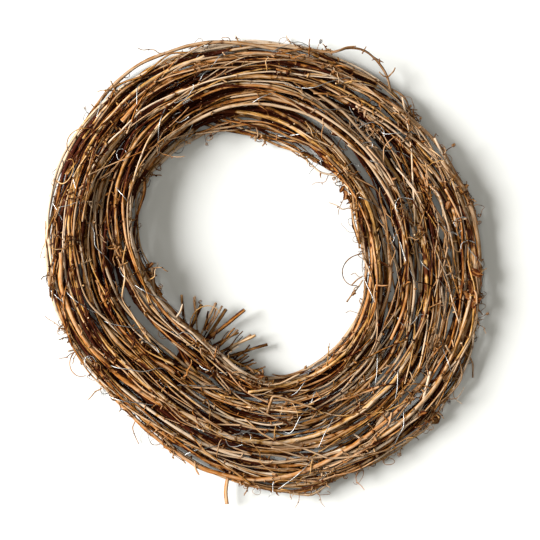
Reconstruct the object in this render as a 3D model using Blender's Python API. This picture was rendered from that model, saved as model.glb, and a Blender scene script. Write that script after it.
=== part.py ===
# Grapevine garland, coiled up as it is stored: long thin vine stems bound into one loose rope by a
# spiral of thin wire, the rope wound four and a half times into a flat ring.
# Metres, Z up. The ring lies on z = 0 and its middle is on the Z axis.
import math

import bpy
import bmesh
import numpy as np
from mathutils import Vector

MM = 0.001
SEED = 11

# the rope's middle, every eighth of a turn, clockwise seen from above: radius and height in mm, and how
# wide the rope is there as a share of its full width; a narrow rope is a taller one
START_ANGLE = 232.0
STEPS_PER_TURN = 8
START_TURN, END_TURN = 0.09, 4.50
ROUTE = [
    (168, 11, 1.00), (158, 11, 1.00), (157, 11, 1.00), (153, 12, 0.85),
    (125, 13, 0.52), (113, 13, 0.70), (121, 12, 0.70), (124, 17, 0.58),
    (104, 30, 0.68), (126, 33, 0.80), (163, 33, 1.00), (175, 31, 0.90),
    (155, 19, 0.58), (144, 13, 0.72), (150, 13, 0.82), (149, 17, 0.88),
    (138, 19, 0.90), (162, 27, 0.80), (180, 17, 1.00), (184, 14, 1.00),
    (178, 12, 0.75), (169, 12, 0.72), (182, 12, 0.82), (177, 15, 0.85),
    (160, 27, 0.90), (183, 31, 0.90), (197, 33, 1.00), (198, 32, 1.00),
    (193, 28, 0.85), (204, 14, 0.82), (217, 12, 0.80), (211, 12, 1.05),
    (184, 13, 0.95), (199, 12, 1.00), (211, 12, 1.00), (211, 13, 1.00), (205, 14, 0.90)]

# the vine stems
VINES = 38
OUTER_END_VINES = 6         # the stems that stop at the rope's outer end
VINES_PER_SECTION = 9.7
VINE_STEP = 0.0385          # length of one straight piece of a stem
VINE_RADIUS = (1.25 * MM, 2.35 * MM)
VINE_TAPER = (1.1, 0.75)
VINE_SIDES = 5
JOINT_SWELL = 1.15          # a stem is this much thicker at every third point, its leaf joints
ROPE_HALF_WIDTH = 0.0158
ROPE_HALF_HEIGHT = 0.0095
DRIFT_WAVE = 0.45           # length over which a stem drifts across the rope and back

# how the stems settle against each other, in each round
GAP = 0.5 * MM              # clear gap aimed at between two pieces
LOOSE_GAP = 2.2 * MM        # further room that the stems take where they have it
SINK = 0.3 * MM             # how far the lowest stems reach under the floor before they are cut flat
SAG = 0.06 * MM
PULL_HOME = 0.02
STIFFNESS = 0.22
LATE_STIFFNESS = 0.03
NEAR = 12 * MM              # pieces further apart than this are left out until the next look round

# the splayed end of the rope, inside the ring: direction in degrees and length in mm of each tip, then in mm
# where the tips spring from, first and last, and the bend under the coil that leads them into the rope
FAN = [(97, 31), (70, 27), (54, 36), (38, 52), (29, 30), (24, 41), (17, 44)]
FAN_ROOTS = ((-75, -61), (-37, -93))
FAN_BEND = [(-82, -106), (-112, -112), (-138, -88)]
FAN_SPREAD = 6.0
FAN_TIP_HEIGHT, FAN_ROOT_HEIGHT, FAN_BEND_HEIGHT = 17.0, 9.0, 9.5
FAN_TAPER = (0.72, 0.80, 0.90)

# the single stems that leave the rope: middle line in mm
SIDE_SHOOT = [(8, 207, 21), (38, 214, 23), (69, 212, 27), (86, 217, 30), (103, 213, 30), (116, 201, 28),
              (124, 189, 25), (129, 173, 21)]
SIDE_SHOOT_RADIUS = 1.15 * MM
CUT_STUB = [(-27, -198, 15), (-33, -213, 16), (-36, -227, 15), (-35, -240, 14)]
CUT_STUB_RADIUS = 1.75 * MM

# the binding wire
WIRES = 4
WIRE_RADIUS = 0.42 * MM
WIRE_PITCH = 0.100
WIRE_STEPS_PER_TURN = 8
WIRE_BREAK = 0.03           # length of rope between the end of one wire and the start of the next
WIRE_LIFT = 0.3 * MM        # the wire stays this far above the floor
HELD = (0.025, 0.0165)      # it holds the stems within this half width and half height of the rope's middle

# small growth on the stems
SPURS = 62
SPUR_LENGTH = (7 * MM, 17 * MM)
SPUR_RADIUS = 1.15 * MM
TENDRILS = 16
TENDRIL_LENGTH = (34 * MM, 62 * MM)
TENDRIL_RADIUS = 0.62 * MM
TENDRIL_STEPS = 9
TENDRIL_FREE = (0.125, 0.190)   # no tendrils between these distances from the middle of the coil
REACH = 0.231                   # how far from the middle of the coil the twigs reach at most
TOP = 0.047                     # and how high
TWIG_SIDES = 4
BURL_ANGLE = -42.0
BURL_RADIUS = 6.5 * MM
BURL_BUMPS = (0.80, 1.18)

FLOOR_CUTTER = (0.6, 0.6, 0.01)

BARKS = [(0.235, 0.125, 0.058), (0.330, 0.195, 0.100), (0.150, 0.078, 0.038), (0.260, 0.130, 0.055)]
WIRE_COLOUR = (0.55, 0.55, 0.53)


def clear_scene():
    for ob in list(bpy.data.objects):
        bpy.data.objects.remove(ob, do_unlink=True)


def route_point(turns):
    """Smooth curve through ROUTE at a number of turns from the inner end: x, y, z and the width there."""
    knots = np.array(ROUTE) * (MM, MM, 1.0)
    x = np.clip(np.asarray(turns) * STEPS_PER_TURN, 0, len(knots) - 1 - 1e-9)
    i = np.floor(x).astype(int)
    f = (x - i)[:, None]
    a, b, c, d = (knots[np.clip(i + j, 0, len(knots) - 1)] for j in (-1, 0, 1, 2))
    p = 0.5 * (2 * b + (c - a) * f + (2 * a - 5 * b + 4 * c - d) * f**2 + (3 * b - a - 3 * c + d) * f**3)
    angle = math.radians(START_ANGLE) - 2 * math.pi * np.asarray(turns)
    return np.stack([p[:, 0] * np.cos(angle), p[:, 0] * np.sin(angle), p[:, 1], p[:, 2]], 1)


class Route:
    """The rope's middle line, measured by its length."""

    def __init__(self):
        self.turns = np.linspace(START_TURN, END_TURN, 4000)
        steps = np.linalg.norm(np.diff(route_point(self.turns)[:, :3], axis=0), axis=1)
        self.lengths = np.concatenate([[0], np.cumsum(steps)])
        self.length = self.lengths[-1]

    def frames(self, s):
        """Middle, sideways and upward directions and share of full width of the rope at lengths s."""
        turns = np.interp(s, self.lengths, self.turns)
        here = route_point(turns)
        along = (route_point(turns + 1e-4) - route_point(turns - 1e-4))[:, :3]
        along /= np.linalg.norm(along, axis=1)[:, None]
        side = np.cross(along, [0, 0, 1.0])
        side /= np.linalg.norm(side, axis=1)[:, None]
        return here[:, :3], side, np.cross(side, along), here[:, 3]


def wander(rng, s):
    """A slow random drift between about -1 and 1 along lengths s."""
    waves = [DRIFT_WAVE * rng.uniform(0.6, 1.5) for _ in range(3)]
    return sum(np.sin(2 * np.pi * (s / wave + rng.random())) for wave in waves) / 3


def lay_out_vines(route):
    """Every stem as a middle line in the rope, before the stems are pushed clear of each other."""
    rng = np.random.default_rng(SEED)
    lengths = rng.uniform(0.75, 1.45, VINES)
    lengths *= route.length * VINES_PER_SECTION / lengths.sum()
    fan = len(FAN)
    first_of_outer_end = VINES - OUTER_END_VINES
    vines = []
    for i in range(VINES):
        length = lengths[i]
        if i < fan:
            start = 0.006 * i
            length *= 0.40 + 0.60 * (i + 1) / fan
        elif i >= first_of_outer_end:
            length *= 0.45 + 0.55 * (i - first_of_outer_end + 1) / OUTER_END_VINES
            start = route.length - length - 0.026 * (VINES - 1 - i)
        else:
            share = (i - fan + 0.5) / (first_of_outer_end - fan)
            start = min(max(share * route.length - 0.5 * length, 0.03), route.length - length - 0.02)
        s = np.linspace(start, start + length, int(round(length / VINE_STEP)) + 1)
        middle, side, up, wide = route.frames(s)
        rho = math.sqrt((0.5 + (i * 0.618) % 1.0) / 1.5)
        turn = i * 2.39996 + 2 * np.pi * rng.uniform(-1.1, 1.5) * (s - start)
        u = ROPE_HALF_WIDTH * wide * (rho * np.cos(turn) + 0.45 * wander(rng, s))
        v = ROPE_HALF_HEIGHT / np.sqrt(wide) * (rho * np.sin(turn) + 0.35 * wander(rng, s))
        for end in (0, -1):
            if end == -1 and i >= first_of_outer_end:
                u[-2:] *= 0.5
            elif rng.random() < 0.6 and not (i < fan and end == 0):
                u[end] += ROPE_HALF_WIDTH * rng.uniform(-0.9, 1.1)
                v[end] += ROPE_HALF_HEIGHT * rng.uniform(0.1, 0.9)
        points = middle + side * u[:, None] + up * v[:, None]
        if i < fan:
            lead = fan_lead(i)
            points = np.concatenate([lead, points])
            s = np.concatenate([start - VINE_STEP * np.arange(len(lead), 0, -1), s])
        taper = np.linspace(*VINE_TAPER, len(points))
        if rng.random() < 0.5 and i >= fan:
            taper = taper[::-1]
        radius = rng.uniform(*VINE_RADIUS) * taper
        if i < fan:
            radius[:3] *= FAN_TAPER
        radius = radius * np.where((np.arange(len(points)) + i) % 3 == 0, JOINT_SWELL, 1.0)
        vines.append({"name": "vine_%02d" % (i + 1), "points": points, "radius": radius, "s": s, "sink": SINK})
    return vines


def single_stem(name, line, radius):
    """A stem with a middle line of its own, which is no part of the bound rope."""
    points = np.array(line, float) * MM
    return {"name": name, "points": points, "radius": np.full(len(points), radius), "sink": 0.0}


def fan_lead(i):
    """The first points of stem i of the splayed end: its tip, its root and the bend under the coil."""
    f = i / (len(FAN) - 1)
    angle, reach = FAN[i]
    root = np.array(FAN_ROOTS[0]) * (1 - f) + np.array(FAN_ROOTS[1]) * f
    tip = root + reach * np.array([math.cos(math.radians(angle)), math.sin(math.radians(angle))])
    lead = [(*tip, FAN_TIP_HEIGHT + 4 * math.sin(3 * i)), (*root, FAN_ROOT_HEIGHT + 2.5 * math.sin(2 * i))]
    for (x, y), share in zip(FAN_BEND, (0.55, 0.9, 1.0)):
        du, dv = FAN_SPREAD * share * math.cos(2.4 * i), FAN_SPREAD * share * math.sin(2.4 * i)
        lead.append((x + du, y + dv, FAN_BEND_HEIGHT + dv))
    return np.array(lead) * MM


def closest(p1, q1, p2, q2):
    """Nearest points of segments p1-q1 and p2-q2, as shares along both, with their offset and distance."""
    d1, d2, r = q1 - p1, q2 - p2, p1 - p2
    a, e, b = (np.einsum("ij,ij->i", x, y) for x, y in ((d1, d1), (d2, d2), (d1, d2)))
    f, c = np.einsum("ij,ij->i", d2, r), np.einsum("ij,ij->i", d1, r)
    den = a * e - b * b
    ok = den > 1e-6 * a * e
    s = np.where(ok, np.clip((b * f - c * e) / np.where(ok, den, 1), 0, 1), 0.5)
    t = np.clip((b * s + f) / e, 0, 1)
    s = np.clip((b * t - c) / a, 0, 1)
    t = np.clip((b * s + f) / e, 0, 1)
    v = p1 + d1 * s[:, None] - p2 - d2 * t[:, None]
    return s, t, v, np.linalg.norm(v, axis=1)


class Strands:
    """All stems and wires as round straight segments between shared points."""

    def __init__(self, strands):
        self.strands = strands
        self.points = np.concatenate([q["points"] for q in strands])
        self.radius = np.concatenate([q["radius"] for q in strands])
        self.floor = np.concatenate([q["radius"] - q["sink"] for q in strands])
        self.first = np.cumsum([0] + [len(q["points"]) for q in strands])
        spans = list(zip(self.first[:-1], self.first[1:]))
        self.a = np.concatenate([np.arange(i, j - 1) for i, j in spans])
        self.owner = np.concatenate([np.full(j - i - 1, k) for k, (i, j) in enumerate(spans)])
        self.place = np.concatenate([np.arange(j - i - 1) for i, j in spans])
        self.inner = np.concatenate([np.arange(i + 1, j - 1) for i, j in spans])

    def near_pairs(self, reach):
        p, q = self.points[self.a], self.points[self.a + 1]
        half = np.linalg.norm(q - p, axis=1) / 2 + reach / 2
        apart = (((p + q)[:, None, :] / 2 - (p + q)[None] / 2)**2).sum(2)
        i, j = np.nonzero(np.triu(apart < (half[:, None] + half[None])**2, 1))
        keep = (self.owner[i] != self.owner[j]) | (np.abs(self.place[i] - self.place[j]) > 3)
        return i[keep], j[keep]

    def gaps(self, i, j):
        a, b = self.a[i], self.a[j]
        s, t, v, far = closest(self.points[a], self.points[a + 1], self.points[b], self.points[b + 1])
        r = self.radius
        return s, t, v, far, far - r[a] * (1 - s) - r[a + 1] * s - r[b] * (1 - t) - r[b + 1] * t

    def settle(self, rounds, spread, hard):
        """Pushes overlapping segments apart, while the stems keep their bends and rest on the floor."""
        home = self.points.copy()
        m = self.inner
        bend = home[m - 1] + home[m + 1] - 2 * home[m]
        for n in range(rounds):
            if n % 10 == 0:
                i, j = self.near_pairs(NEAR)
            late = n >= rounds * (1 - hard)
            x = self.points
            if not late:
                x = x + PULL_HOME * (home - x) - np.array([0, 0, SAG])
            if n < rounds - 40:
                stiffness = LATE_STIFFNESS if late else STIFFNESS
                change = stiffness * (x[m - 1] + x[m + 1] - 2 * x[m] - bend)
                x[m] += 0.5 * change
                x[m - 1] -= 0.25 * change
                x[m + 1] -= 0.25 * change
            self.points = x
            s, t, v, far, gap = self.gaps(i, j)
            gap = gap - GAP - (0 if late else spread)
            hit = gap < 0
            soft = 1.0 if late else np.where(gap[hit] < -spread, 0.8, 0.12)
            push = (-0.5 * gap[hit] * soft / np.maximum(far[hit], 1e-9))[:, None] * v[hit]
            move, load = np.zeros_like(x), np.zeros(len(x))
            for seg, w, sign in ((self.a[i[hit]], s[hit], 1), (self.a[j[hit]], t[hit], -1)):
                for point, part in ((seg, 1 - w), (seg + 1, w)):
                    np.add.at(move, point, sign * push * (part / ((1 - w)**2 + w**2))[:, None])
                    np.add.at(load, point, part)
            x = x + move / np.sqrt(np.maximum(1.0, load))[:, None]
            x[:, 2] = np.maximum(x[:, 2], self.floor)
            self.points = np.round(x, 8)
        for k, strand in enumerate(self.strands):
            strand["points"] = self.points[self.first[k]:self.first[k + 1]]

    def clearance(self, points, radius, segments):
        """Least gap between a line of points and the given segments."""
        n, k = len(points) - 1, len(segments)
        a, b = np.repeat(np.arange(n), k), np.tile(segments, n)
        s, t, _, far = closest(points[a], points[a + 1], self.points[b], self.points[b + 1])
        r = self.radius
        return (far - radius[a] * (1 - s) - radius[a + 1] * s - r[b] * (1 - t) - r[b + 1] * t).min()

    def add(self, points, radius, owner):
        """Adds a grown twig to the segments that later twigs stay clear of."""
        self.a = np.concatenate([self.a, len(self.points) + np.arange(len(points) - 1)])
        self.owner = np.concatenate([self.owner, np.full(len(points) - 1, owner)])
        self.points = np.concatenate([self.points, points])
        self.radius = np.concatenate([self.radius, radius])


def wind_wires(vines, route):
    """The binding wires: a spiral that lies on the outside of the stems it holds, in WIRES lengths."""
    psi = np.linspace(0, 2 * np.pi, 72, endpoint=False)
    compass = np.stack([np.cos(psi), np.sin(psi)], 1)
    ends = np.linspace(WIRE_BREAK / 2, route.length - WIRE_BREAK / 2, WIRES + 1)
    wires = []
    for k in range(WIRES):
        turns = (ends[k + 1] - WIRE_BREAK - ends[k]) / WIRE_PITCH
        phi = np.arange(0, turns * 2 * np.pi, 2 * np.pi / WIRE_STEPS_PER_TURN) + 1.3 * k
        s = ends[k] + WIRE_PITCH * (phi - phi[0]) / (2 * np.pi) + 0.012 * np.sin(0.37 * phi + k)
        middle, side, up, _ = route.frames(s)
        points = []
        for m in range(len(s)):
            here = [vine for vine in vines if vine["s"][0] <= s[m] <= vine["s"][-1]]
            size = np.array([np.interp(s[m], vine["s"], vine["radius"]) for vine in here])
            held = [[np.interp(s[m], vine["s"], vine["points"][:, c]) for c in range(3)] for vine in here]
            held = (np.array(held) - middle[m]) @ np.stack([side[m], up[m]], 1)
            centre = np.median(held, axis=0)
            keep = np.linalg.norm((held - centre) / HELD, axis=1) < 1
            width = ((held[keep] - centre) @ compass.T + size[keep][:, None]).max(0) + WIRE_RADIUS + GAP
            ray = np.array([math.cos(phi[m]), math.sin(phi[m])])
            facing = compass @ ray
            ahead = facing > 0.15
            at = centre + ray * (width[ahead] / facing[ahead]).min()
            points.append(middle[m] + side[m] * at[0] + up[m] * at[1])
        wires.append({"name": "wire_%d" % (k + 1), "points": np.array(points),
                      "radius": np.full(len(points), WIRE_RADIUS), "sink": -WIRE_LIFT})
    return wires


def twig_line(root, out, along, length, lean, curl, steps):
    """A thin shoot that leaves root between the directions out and along, and curls on by curl radians."""
    t = (np.arange(steps) + 0.5) / steps
    angle = lean + curl * t**1.5
    heading = out * np.cos(angle)[:, None] + along * np.sin(angle)[:, None]
    return np.concatenate([[root], root + np.cumsum(heading, axis=0) * length / steps])


def draw_spur(rng, root, out, along, thick):
    """A short cut side twig."""
    points = twig_line(root, out, along, rng.uniform(*SPUR_LENGTH), rng.uniform(-0.9, 0.9),
                       rng.uniform(-0.7, 0.7), 2)
    return points, min(0.62 * thick, SPUR_RADIUS) * np.array([1.0, 0.85, 0.62])


def draw_tendril(rng, root, out, along, thick):
    """A long thin shoot that curls up, and lifts or droops a little as it goes."""
    points = twig_line(root, out, along, rng.uniform(*TENDRIL_LENGTH), rng.uniform(-0.8, 0.8),
                       rng.choice((-1, 1)) * rng.uniform(2.2, 5.2), TENDRIL_STEPS)
    points[:, 2] += rng.uniform(-0.5, 0.7) * MM * np.arange(TENDRIL_STEPS + 1)
    return points, TENDRIL_RADIUS * np.linspace(1.0, 0.66, TENDRIL_STEPS + 1)


def grow_twigs(strands, vines):
    """Twigs drawn at random on the stems, kept where they stay clear of every other piece."""
    rng = np.random.default_rng(SEED + 1)
    twigs = []
    for draw, wanted, edge_only in ((draw_tendril, TENDRILS, True), (draw_spur, SPURS, False)):
        made = 0
        for _ in range(8000):
            if made == wanted:
                break
            k = int(rng.integers(0, VINES))
            line = vines[k]["points"]
            n = int(rng.integers(1, len(line) - 2))
            root = line[n] + (line[n + 1] - line[n]) * rng.uniform(0.15, 0.85)
            along = (line[n + 1] - line[n]) / np.linalg.norm(line[n + 1] - line[n])
            out = rng.normal(size=3) * (1, 1, 0.6) + (0, 0, 0.35)
            out -= along * (out @ along)
            out /= np.linalg.norm(out)
            thick = vines[k]["radius"][n]
            points, radius = draw(rng, root, out, along, thick)
            if edge_only and TENDRIL_FREE[0] < np.linalg.norm(root[:2]) < TENDRIL_FREE[1]:
                continue
            if np.linalg.norm(points[:, :2], axis=1).max() > REACH:
                continue
            if points[:, 2].min() < 1.5 * MM or points[:, 2].max() > TOP:
                continue
            if (points[-1] - root) @ out < thick + 2 * MM:
                continue
            own = strands.owner == k
            if strands.clearance(points, radius, strands.a[~own]) < GAP:
                continue
            if edge_only and strands.clearance(points[2:], radius[2:], strands.a[own]) < GAP:
                continue
            strands.add(points, radius, k)
            twigs.append({"vine": k, "points": points, "radius": radius})
            made += 1
    return twigs


def place_burl(strands, vines):
    """The knob of bark on the outermost stem at BURL_ANGLE: the stem's number and the knob's middle."""
    ray = np.array([math.cos(math.radians(BURL_ANGLE)), math.sin(math.radians(BURL_ANGLE)), 0.0])
    best = None
    for k in range(VINES):
        line = vines[k]["points"]
        fine = np.linspace(0, len(line) - 1, 8 * len(line))
        dots = np.stack([np.interp(fine, np.arange(len(line)), line[:, c]) for c in range(3)], 1)
        across = np.abs(dots[:, 1] * ray[0] - dots[:, 0] * ray[1])
        for dot in dots[(across < 3 * MM) & (dots @ ray > 0.15)]:
            if best is None or dot @ ray > best[1] @ ray:
                best = (k, dot)
    k, dot = best
    others = strands.a[strands.owner != k]
    for out in np.arange(2.0, 9.0, 0.25) * MM:
        middle = dot + ray * out
        point = np.array([middle, middle + (0, 0, 1e-6)])
        if strands.clearance(point, np.full(2, BURL_RADIUS * BURL_BUMPS[1]), others) > GAP:
            break
    return k, middle


def tube_curve(name, points, radius):
    """A curve object that follows points, with round bevel of 1 mm times each point's radius."""
    curve = bpy.data.curves.new(name, "CURVE")
    curve.dimensions = "3D"
    curve.resolution_u = 1
    curve.render_resolution_u = 0
    curve.use_fill_caps = True
    spline = curve.splines.new("POLY")
    spline.points.add(len(points) - 1)
    spline.points.foreach_set("co", np.c_[points, np.ones(len(points))].ravel())
    spline.points.foreach_set("radius", radius / MM)
    return bpy.data.objects.new(name, curve)


def tube_mesh(name, points, radius, section, home):
    """The same tube as a closed mesh object, with the flat ring section carried along it."""
    tube = tube_curve(name + "_line", points, radius)
    tube.data.bevel_mode = "OBJECT"
    tube.data.bevel_object = section
    home.objects.link(tube)
    graph = bpy.context.evaluated_depsgraph_get()
    mesh = bpy.data.meshes.new_from_object(tube.evaluated_get(graph))
    close_mesh(mesh)
    ob = bpy.data.objects.new(name, mesh)
    ob.matrix_world = tube.matrix_world
    bpy.data.objects.remove(tube, do_unlink=True)
    home.objects.link(ob)
    return ob


def close_mesh(mesh):
    """Welds the caps of a tube to its sides."""
    bm = bmesh.new()
    bm.from_mesh(mesh)
    bmesh.ops.remove_doubles(bm, verts=bm.verts, dist=0.001 * MM)
    bmesh.ops.recalc_face_normals(bm, faces=bm.faces)
    bm.to_mesh(mesh)
    bm.free()


def ring_section(sides, home):
    """A flat closed ring of a few points, 1 mm in radius: the cross-section of a stem."""
    curve = bpy.data.curves.new("section_%d" % sides, "CURVE")
    curve.dimensions = "2D"
    spline = curve.splines.new("POLY")
    spline.points.add(sides - 1)
    turn = 2 * np.pi * np.arange(sides) / sides
    zero = np.zeros(sides)
    spline.points.foreach_set("co", np.stack([MM * np.cos(turn), MM * np.sin(turn), zero, zero + 1], 1).ravel())
    spline.use_cyclic_u = True
    ob = bpy.data.objects.new(curve.name, curve)
    ob.hide_render = True
    ob.display_type = "WIRE"
    home.objects.link(ob)
    return ob


def burl_mesh(name, middle, home):
    """A knob of bark: a coarse ball with a bumpy surface."""
    rng = np.random.default_rng(SEED + 2)
    mesh = bpy.data.meshes.new(name)
    bm = bmesh.new()
    bmesh.ops.create_icosphere(bm, subdivisions=2, radius=BURL_RADIUS)
    for vert in bm.verts:
        vert.co *= rng.uniform(*BURL_BUMPS)
    bm.to_mesh(mesh)
    bm.free()
    ob = bpy.data.objects.new(name, mesh)
    ob.location = Vector(middle)
    home.objects.link(ob)
    return ob


def join(ob, pieces, home):
    """One Boolean union of ob with a collection of pieces, applied, and the pieces removed."""
    group = bpy.data.collections.new(ob.name + "_growth")
    home.children.link(group)
    for piece in pieces:
        home.objects.unlink(piece)
        group.objects.link(piece)
    union = ob.modifiers.new("growth", "BOOLEAN")
    union.operation = "UNION"
    union.operand_type = "COLLECTION"
    union.collection = group
    union.solver = "EXACT"
    graph = bpy.context.evaluated_depsgraph_get()
    mesh = bpy.data.meshes.new_from_object(ob.evaluated_get(graph))
    ob.modifiers.remove(union)
    ob.data = mesh
    for piece in pieces:
        bpy.data.objects.remove(piece, do_unlink=True)
    bpy.data.collections.remove(group)


def plain_material(name, colour, roughness, metallic):
    material = bpy.data.materials.new(name)
    material.use_nodes = True
    shader = material.node_tree.nodes["Principled BSDF"]
    shader.inputs["Base Color"].default_value = (*colour, 1)
    shader.inputs["Roughness"].default_value = roughness
    shader.inputs["Metallic"].default_value = metallic
    return material


def centre_on_floor(objects):
    """Moves everything sideways so that the box round the coil is centred on the Z axis."""
    graph = bpy.context.evaluated_depsgraph_get()
    corners = []
    for ob in objects:
        mesh = ob.evaluated_get(graph).to_mesh()
        corners += [tuple(ob.matrix_world @ vert.co) for vert in mesh.vertices]
    corners = np.array(corners)
    shift = -(corners.min(0) + corners.max(0)) / 2
    for ob in objects:
        ob.location = (shift[0], shift[1], 0)


def flatten_undersides(objects, cutters):
    """Cuts the stems that reach under the floor flat along z = 0: the flat spots the coil rests on."""
    bpy.ops.mesh.primitive_cube_add(size=1, location=(0, 0, -FLOOR_CUTTER[2] / 2))
    slab = bpy.context.object
    slab.name = "floor_cutter"
    slab.scale = FLOOR_CUTTER
    slab.hide_render = True
    slab.display_type = "WIRE"
    for group in list(slab.users_collection):
        group.objects.unlink(slab)
    cutters.objects.link(slab)
    for ob in objects:
        if ob.type == "MESH" and min(vert.co.z for vert in ob.data.vertices) < 0:
            cut = ob.modifiers.new("flat_underside", "BOOLEAN")
            cut.operation = "DIFFERENCE"
            cut.object = slab
            cut.solver = "EXACT"


def main():
    clear_scene()
    home = bpy.data.collections.new("grapevine_garland")
    cutters = bpy.data.collections.new("cutters")
    for group in (home, cutters):
        bpy.context.scene.collection.children.link(group)

    route = Route()
    vines = lay_out_vines(route)
    singles = [single_stem("side_shoot", SIDE_SHOOT, SIDE_SHOOT_RADIUS),
               single_stem("cut_stub", CUT_STUB, CUT_STUB_RADIUS)]
    Strands(vines + singles).settle(rounds=240, spread=LOOSE_GAP, hard=0.3)
    wires = wind_wires(vines, route)
    strands = Strands(vines + singles + wires)
    strands.settle(rounds=300, spread=0.0, hard=0.7)
    i, j = strands.near_pairs(2 * MM)
    print("least gap %.2f mm" % (strands.gaps(i, j)[4].min() / MM))
    burl = place_burl(strands, vines)
    twigs = grow_twigs(strands, vines)

    section = ring_section(VINE_SIDES, cutters)
    twig_section = ring_section(TWIG_SIDES, cutters)
    objects = []
    for k, vine in enumerate(vines + singles):
        ob = tube_mesh(vine["name"], vine["points"], vine["radius"], section, home)
        growth = [tube_mesh("twig", twig["points"], twig["radius"], twig_section, home)
                  for twig in twigs if twig["vine"] == k]
        if k == burl[0]:
            growth.append(burl_mesh("burl", burl[1], home))
        if growth:
            join(ob, growth, home)
        ob.data.materials.clear()
        ob.data.materials.append(plain_material(vine["name"] + "_bark", BARKS[k % len(BARKS)], 0.85, 0.0))
        objects.append(ob)
    bpy.data.objects.remove(section, do_unlink=True)
    bpy.data.objects.remove(twig_section, do_unlink=True)
    for wire in wires:
        ob = tube_curve(wire["name"], wire["points"], wire["radius"])
        ob.data.bevel_depth = MM
        ob.data.bevel_resolution = 0
        ob.data.materials.append(plain_material(wire["name"] + "_steel", WIRE_COLOUR, 0.35, 1.0))
        home.objects.link(ob)
        objects.append(ob)
    centre_on_floor(objects)
    flatten_undersides(objects, cutters)


main()
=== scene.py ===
# Grapevine garland: bark, twigs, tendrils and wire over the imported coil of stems.
import math

import bpy
import numpy as np
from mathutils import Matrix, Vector


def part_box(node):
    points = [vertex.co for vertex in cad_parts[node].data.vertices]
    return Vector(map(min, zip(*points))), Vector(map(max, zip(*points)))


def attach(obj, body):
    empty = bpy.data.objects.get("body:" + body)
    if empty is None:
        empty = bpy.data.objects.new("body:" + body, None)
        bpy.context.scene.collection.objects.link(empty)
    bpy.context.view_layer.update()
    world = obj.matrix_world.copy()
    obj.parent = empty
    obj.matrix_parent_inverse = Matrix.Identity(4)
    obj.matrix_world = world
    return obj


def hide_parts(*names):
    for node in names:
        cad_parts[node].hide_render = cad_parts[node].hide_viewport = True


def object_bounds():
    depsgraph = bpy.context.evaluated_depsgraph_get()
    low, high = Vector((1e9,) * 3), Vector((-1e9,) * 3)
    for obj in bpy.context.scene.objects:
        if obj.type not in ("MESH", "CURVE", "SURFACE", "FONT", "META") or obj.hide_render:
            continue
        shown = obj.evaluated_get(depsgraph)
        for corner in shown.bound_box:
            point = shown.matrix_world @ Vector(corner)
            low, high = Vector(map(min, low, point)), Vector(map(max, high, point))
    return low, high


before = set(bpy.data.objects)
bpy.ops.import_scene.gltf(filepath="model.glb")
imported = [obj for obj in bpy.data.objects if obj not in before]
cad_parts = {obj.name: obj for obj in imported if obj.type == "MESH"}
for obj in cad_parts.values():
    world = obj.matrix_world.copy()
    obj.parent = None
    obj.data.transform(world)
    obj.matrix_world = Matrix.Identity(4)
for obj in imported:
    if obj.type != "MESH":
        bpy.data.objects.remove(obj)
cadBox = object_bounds()
mm = 0.001

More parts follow.
